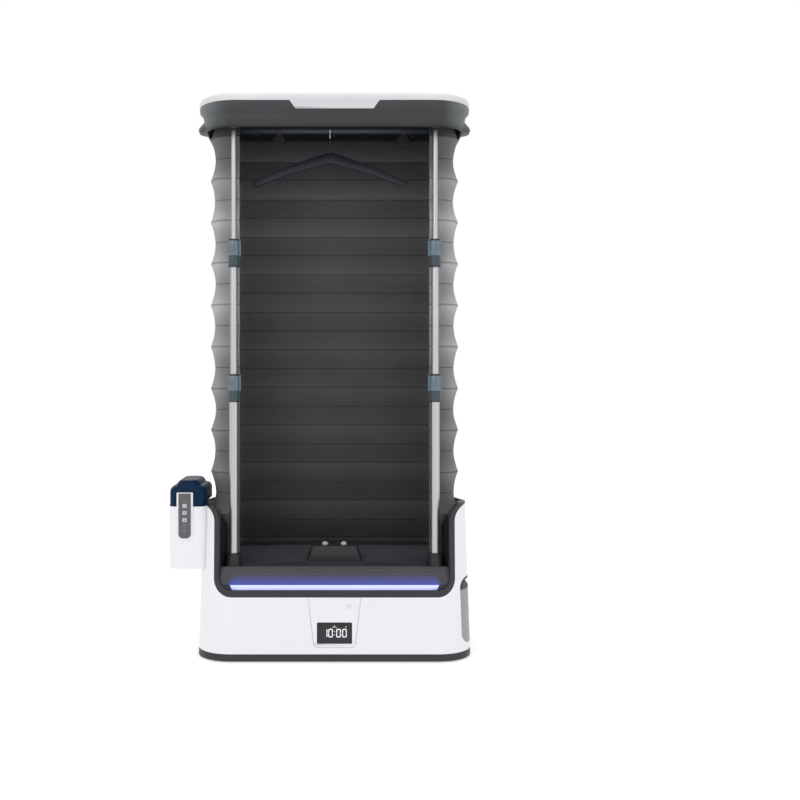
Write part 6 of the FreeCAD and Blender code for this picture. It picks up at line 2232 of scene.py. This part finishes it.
@dataclass
class SteamWorks:
    """Boiler, nozzles, pump and hoses."""

    boiler_y: float = -0.040
    cover_bolt: ScrewHead = ScrewHead(0.0042, 0.0030)
    bolt_count: int = 8
    bolt_circle: float = 0.055
    above_cover: float = 0.3
    gasket: RoundRing = RoundRing(0.0620, 0.0012, Finish.SILICONE)
    gasket_z: float = 0.096
    thermostat_z: float = 0.066
    tab_x: float = 0.0045
    element_x: float = 0.010
    element_z: float = 0.032
    pump_rib: RoundRing = RoundRing(0.0170, 0.0009, Finish.ENAMEL)
    pump_rib_x: Row = Row(-0.244, 0.006, 7)
    pump_y: float = 0.050
    pump_z: float = 0.035
    plug_y: Pair = (0.0465, 0.0535)
    hose_clip: RoundRing = RoundRing(0.0056, 0.0009, Finish.STEEL)
    hose_clip_at: Points = ((-0.2695, 0.050, 0.035), (-0.1825, 0.050, 0.035), (-0.0755, -0.040, 0.0635))
    housing_screw: ScrewHead = ScrewHead(0.0032, 0.0014, Finish.ENAMEL)
    housing_screw_x: float = 0.050
    above_housing: float = 0.4
    lip: RoundRing = RoundRing(0.0054, 0.0008, Finish.SILICONE)
    nozzle_x: float = 0.025
    lip_z: float = 0.2748

    def build(self) -> None:
        """Dress the steam works."""
        Bench.finish(
            ("boiler", Finish.CAST, 0.8),
            ("boiler_cover", Finish.CAST, 0.8),
            ("heating_ring", Finish.STEEL),
            ("nozzle_housing", Finish.DARK, 1.5),
            ("steam_nozzles", Finish.SILICONE, 0.4),
            ("water_pump", Finish.WORKS, 0.8),
            ("hoses", Finish.SILICONE),
        )
        self._boiler_fittings()
        self._pump_fittings()
        self._nozzle_fittings()

    def _boiler_fittings(self) -> None:
        """Bolts, gasket, thermostat and terminals of the boiler."""
        y, z = self.boiler_y, self.thermostat_z
        turns = [math.tau * (i + 0.5) / self.bolt_count for i in range(self.bolt_count)]
        place, _ = probe("boiler_cover", (self.bolt_circle, y, self.above_cover), DOWN)
        spots = [(self.bolt_circle * math.cos(t), y + self.bolt_circle * math.sin(t), place.z) for t in turns]
        self.cover_bolt.fit("cover_bolts", "boiler_cover", spots, [UP])
        self.gasket.fit("cover_gasket", "boiler", [(0.0, y, self.gasket_z)], [UP])
        thermostat: list[Solid] = [
            Bar((0.0, y - 0.0605, z), (0.0, y - 0.070, z), 0.0085, 24),
            Bar((0.0, y - 0.069, z), (0.0, y - 0.073, z), 0.0050, 20),
        ]
        for x in (-self.tab_x, self.tab_x):
            low, high = (x - 0.0004, y - 0.0765, z - 0.003), (x + 0.0004, y - 0.069, z + 0.003)
            thermostat.append(Block(low, high, 0.0001))
        Bench.model("boiler_thermostat", "boiler", Finish.STEEL, thermostat)
        terminals: list[Solid] = []
        for x in (-self.element_x, self.element_x):
            terminals.append(Bar((x, y + 0.036, self.element_z), (x, y + 0.062, self.element_z), 0.0042))
            terminals.append(Bar((x, y + 0.061, self.element_z), (x, y + 0.068, self.element_z), 0.0018, 12))
        Bench.model("heater_terminals", "heating_ring", Finish.SILICONE, terminals)

    def _pump_fittings(self) -> None:
        """Coil ribs, terminals and hose clips of the pump."""
        ribs = [(x, self.pump_y, self.pump_z) for x in self.pump_rib_x]
        self.pump_rib.fit("pump_ribs", "water_pump", ribs, [RIGHT])
        plug = [Block((-0.213, 0.043, 0.0505), (-0.201, 0.057, 0.0560), 0.0008)]
        for pin in self.plug_y:
            plug.append(Block((-0.2074, pin - 0.0025, 0.0550), (-0.2066, pin + 0.0025, 0.0620), 0.0001))
        Bench.model("pump_terminals", "water_pump", Finish.COPPER, plug)
        self.hose_clip.fit("hose_clips", "hoses", self.hose_clip_at, [RIGHT])

    def _nozzle_fittings(self) -> None:
        """Screws on the nozzle housing and the lips of the nozzles."""
        origins = [(side * self.housing_screw_x, self.boiler_y, self.above_housing) for side in SIDES]
        spots, _ = seats("nozzle_housing", origins, DOWN)
        self.housing_screw.fit("housing_screws", "nozzle_housing", spots, [UP])
        lips = [(side * self.nozzle_x, self.boiler_y, self.lip_z) for side in SIDES]
        self.lip.fit("nozzle_lips", "steam_nozzles", lips, [UP])


@dataclass
class AirWorks:
    """Fan, heater and duct."""

    fan_at: Pair = (0.158, 0.112)
    fan_screw: ScrewHead = ScrewHead(0.0030, 0.0016)
    fan_screw_count: int = 5
    fan_screw_circle: float = 0.046
    fan_screw_turn: float = 2.2
    fan_top: float = 0.140
    vent: RoundedPlate = RoundedPlate(0.015, 0.0032, 0.0004, 0.0015, Finish.INNER)
    vent_count: int = 14
    motor_radius: float = 0.0239
    vent_z: float = 0.153
    terminal_x: Pair = (0.067, 0.077)
    terminal_z: float = 0.118
    duct_rib: RoundedPlate = RoundedPlate(0.110, 0.002, 0.0012, 0.0009, Finish.WORKS)
    duct_rib_x: Row = Row(-0.048, 0.016, 7)
    duct_y: float = 0.128
    duct_z: float = 0.160

    def build(self) -> None:
        """Dress the air works."""
        Bench.finish(
            ("fan_housing", Finish.WORKS, 0.8),
            ("fan_wheel", Finish.WORKS),
            ("fan_motor", Finish.STEEL, 0.6),
            ("air_heater", Finish.STEEL),
            ("air_duct", Finish.WORKS, 0.6),
        )
        self._fan_fittings()
        self._heater_fittings()

    def _fan_fittings(self) -> None:
        """Housing screws, motor vents and shaft cap."""
        x, y = self.fan_at
        circle, count = self.fan_screw_circle, self.fan_screw_count
        turns = [math.tau * (i + 0.25) / count + self.fan_screw_turn for i in range(count)]
        spots = [(x + circle * math.cos(t), y + circle * math.sin(t), self.fan_top) for t in turns]
        self.fan_screw.fit("fan_screws", "fan_housing", spots, [UP])
        turns = [math.tau * i / self.vent_count for i in range(self.vent_count)]
        facing = [(math.cos(t), math.sin(t), 0.0) for t in turns]
        spots = [(x + self.motor_radius * nx, y + self.motor_radius * ny, self.vent_z) for nx, ny, _ in facing]
        self.vent.fit("motor_vents", "fan_motor", spots, facing, [UP])
        Bench.model("motor_cap", "fan_motor", Finish.ENAMEL, [
            Bar((x, y, 0.1655), (x, y, 0.1700), 0.0070, 24),
            Bar((x, y, 0.1695), (x, y, 0.1715), 0.0025, 14),
            Block((x + 0.009, y - 0.006, 0.1655), (x + 0.016, y + 0.006, 0.1710), 0.0008),
        ])

    def _heater_fittings(self) -> None:
        """Heater terminals and duct ribs."""
        z = self.terminal_z
        terminals = []
        for x in self.terminal_x:
            terminals.append(Bar((x, 0.1290, z), (x, 0.1200, z), 0.0034))
            terminals.append(Bar((x, 0.1210, z), (x, 0.1140, z), 0.0014, 12))
        Bench.model("air_heater_terminals", "air_heater", Finish.SILICONE, terminals)
        ribs = [(x, self.duct_y, self.duct_z) for x in self.duct_rib_x]
        self.duct_rib.fit("duct_ribs", "air_duct", ribs, [FRONT], [UP])


@dataclass
class Electrics:
    """Board, mains inlet and rear cover."""

    wall_draft: float = 0.01164
    wall_height: float = 0.390
    wall_y: float = 0.205
    board_at: Pair = (-0.211, 0.094)
    above_board: float = 0.3
    chip: RoundedPlate = RoundedPlate(0.0040, 0.0022, 0.0010, 0.0003, Finish.BLACK_GLOSS)
    chip_x: Row = Row(-0.204, 0.0095, 13)
    chip_y: Pair = (0.0945, 0.0987)
    fin: RoundedPlate = RoundedPlate(0.0080, 0.0010, 0.0140, 0.0003, Finish.STEEL)
    fin_x: float = -0.0705
    fin_y: Row = Row(0.118, 0.0030, 9)
    fuse_y: float = 0.168
    fuse_rise: float = 0.0030
    fuse_parts: Points = (
        (-0.208, -0.203, 0.0028), (-0.203, -0.193, 0.0024), (-0.193, -0.188, 0.0028),
    )
    plug_x: tuple[float, ...] = (-0.176, -0.156, -0.136, -0.116)
    wire: RoundedPlate = RoundedPlate(0.112, 0.0006, 0.0006, 0.0002, Finish.STEEL)
    wire_x: float = 0.098
    wire_z: Row = Row(0.066, 0.0038, 26)
    wire_sink: float = 0.0040
    bar: RoundedPlate = RoundedPlate(0.100, 0.0008, 0.0006, 0.0002, Finish.STEEL)
    bar_x: Row = Row(0.044, 0.009, 13)
    bar_z: float = 0.1135
    bar_sink: float = 0.0046

    def build(self) -> None:
        """Dress the electrics."""
        Bench.finish(
            ("main_board", Finish.BOARD),
            ("rear_cover", Finish.WHITE, 0.5),
            ("mains_inlet", Finish.BLACK_GLOSS, 0.5),
            ("rear_screws", Finish.STEEL),
        )
        self._board_parts()
        self._dust_screen()

    def _board_parts(self) -> None:
        """Chips, heat sink fins, fuse and plug rows on the board."""
        place, _ = probe("main_board", (*self.board_at, self.above_board), DOWN)
        top = place.z
        chips = [(x, self.chip_y[i % 2], top) for i, x in enumerate(self.chip_x)]
        self.chip.fit("board_chips", "main_board", chips, [UP])
        fins = [(self.fin_x, y, top) for y in self.fin_y]
        self.fin.fit("board_heat_sink", "main_board", fins, [UP])
        y, z = self.fuse_y, top + self.fuse_rise
        fuse = [Bar((x0, y, z), (x1, y, z), radius, 14, 0.1) for x0, x1, radius in self.fuse_parts]
        Bench.model("board_fuse", "main_board", Finish.CLEAR, fuse)
        plugs = [
            Block((x - 0.0075, 0.1645, top - 0.0002), (x + 0.0075, 0.1720, top + 0.0085)) for x in self.plug_x
        ]
        Bench.model("board_plugs", "main_board", Finish.KEY, plugs)

    def _dust_screen(self) -> None:
        """Fine wires behind the grille of the rear cover."""
        lean = self.wall_draft / self.wall_height
        wires = [(self.wire_x, self.wall_y - lean * z - self.wire_sink, z) for z in self.wire_z]
        self.wire.fit("dust_screen_wires", "rear_cover", wires, [BACK])
        y = self.wall_y - lean * self.bar_z - self.bar_sink
        bars = [(x, y, self.bar_z) for x in self.bar_x]
        self.bar.fit("dust_screen_bars", "rear_cover", bars, [(0.0, 1.0, lean)], [UP])


def main() -> None:
    """Build every part of the cabinet and note its size."""
    logging.basicConfig(level=logging.INFO, format="%(name)s: %(message)s")
    for part in (
        BaseCase(), FrontPanel(), WasteDrawer(), SidePod(), Poles(), FabricWall(), Lid(), HangingGear(),
        SteamWorks(), AirWorks(), Electrics(),
    ):
        LOG.info("-- %s", type(part).__name__)
        part.build()
    Studio().build()


if __name__ == "__main__":
    main()
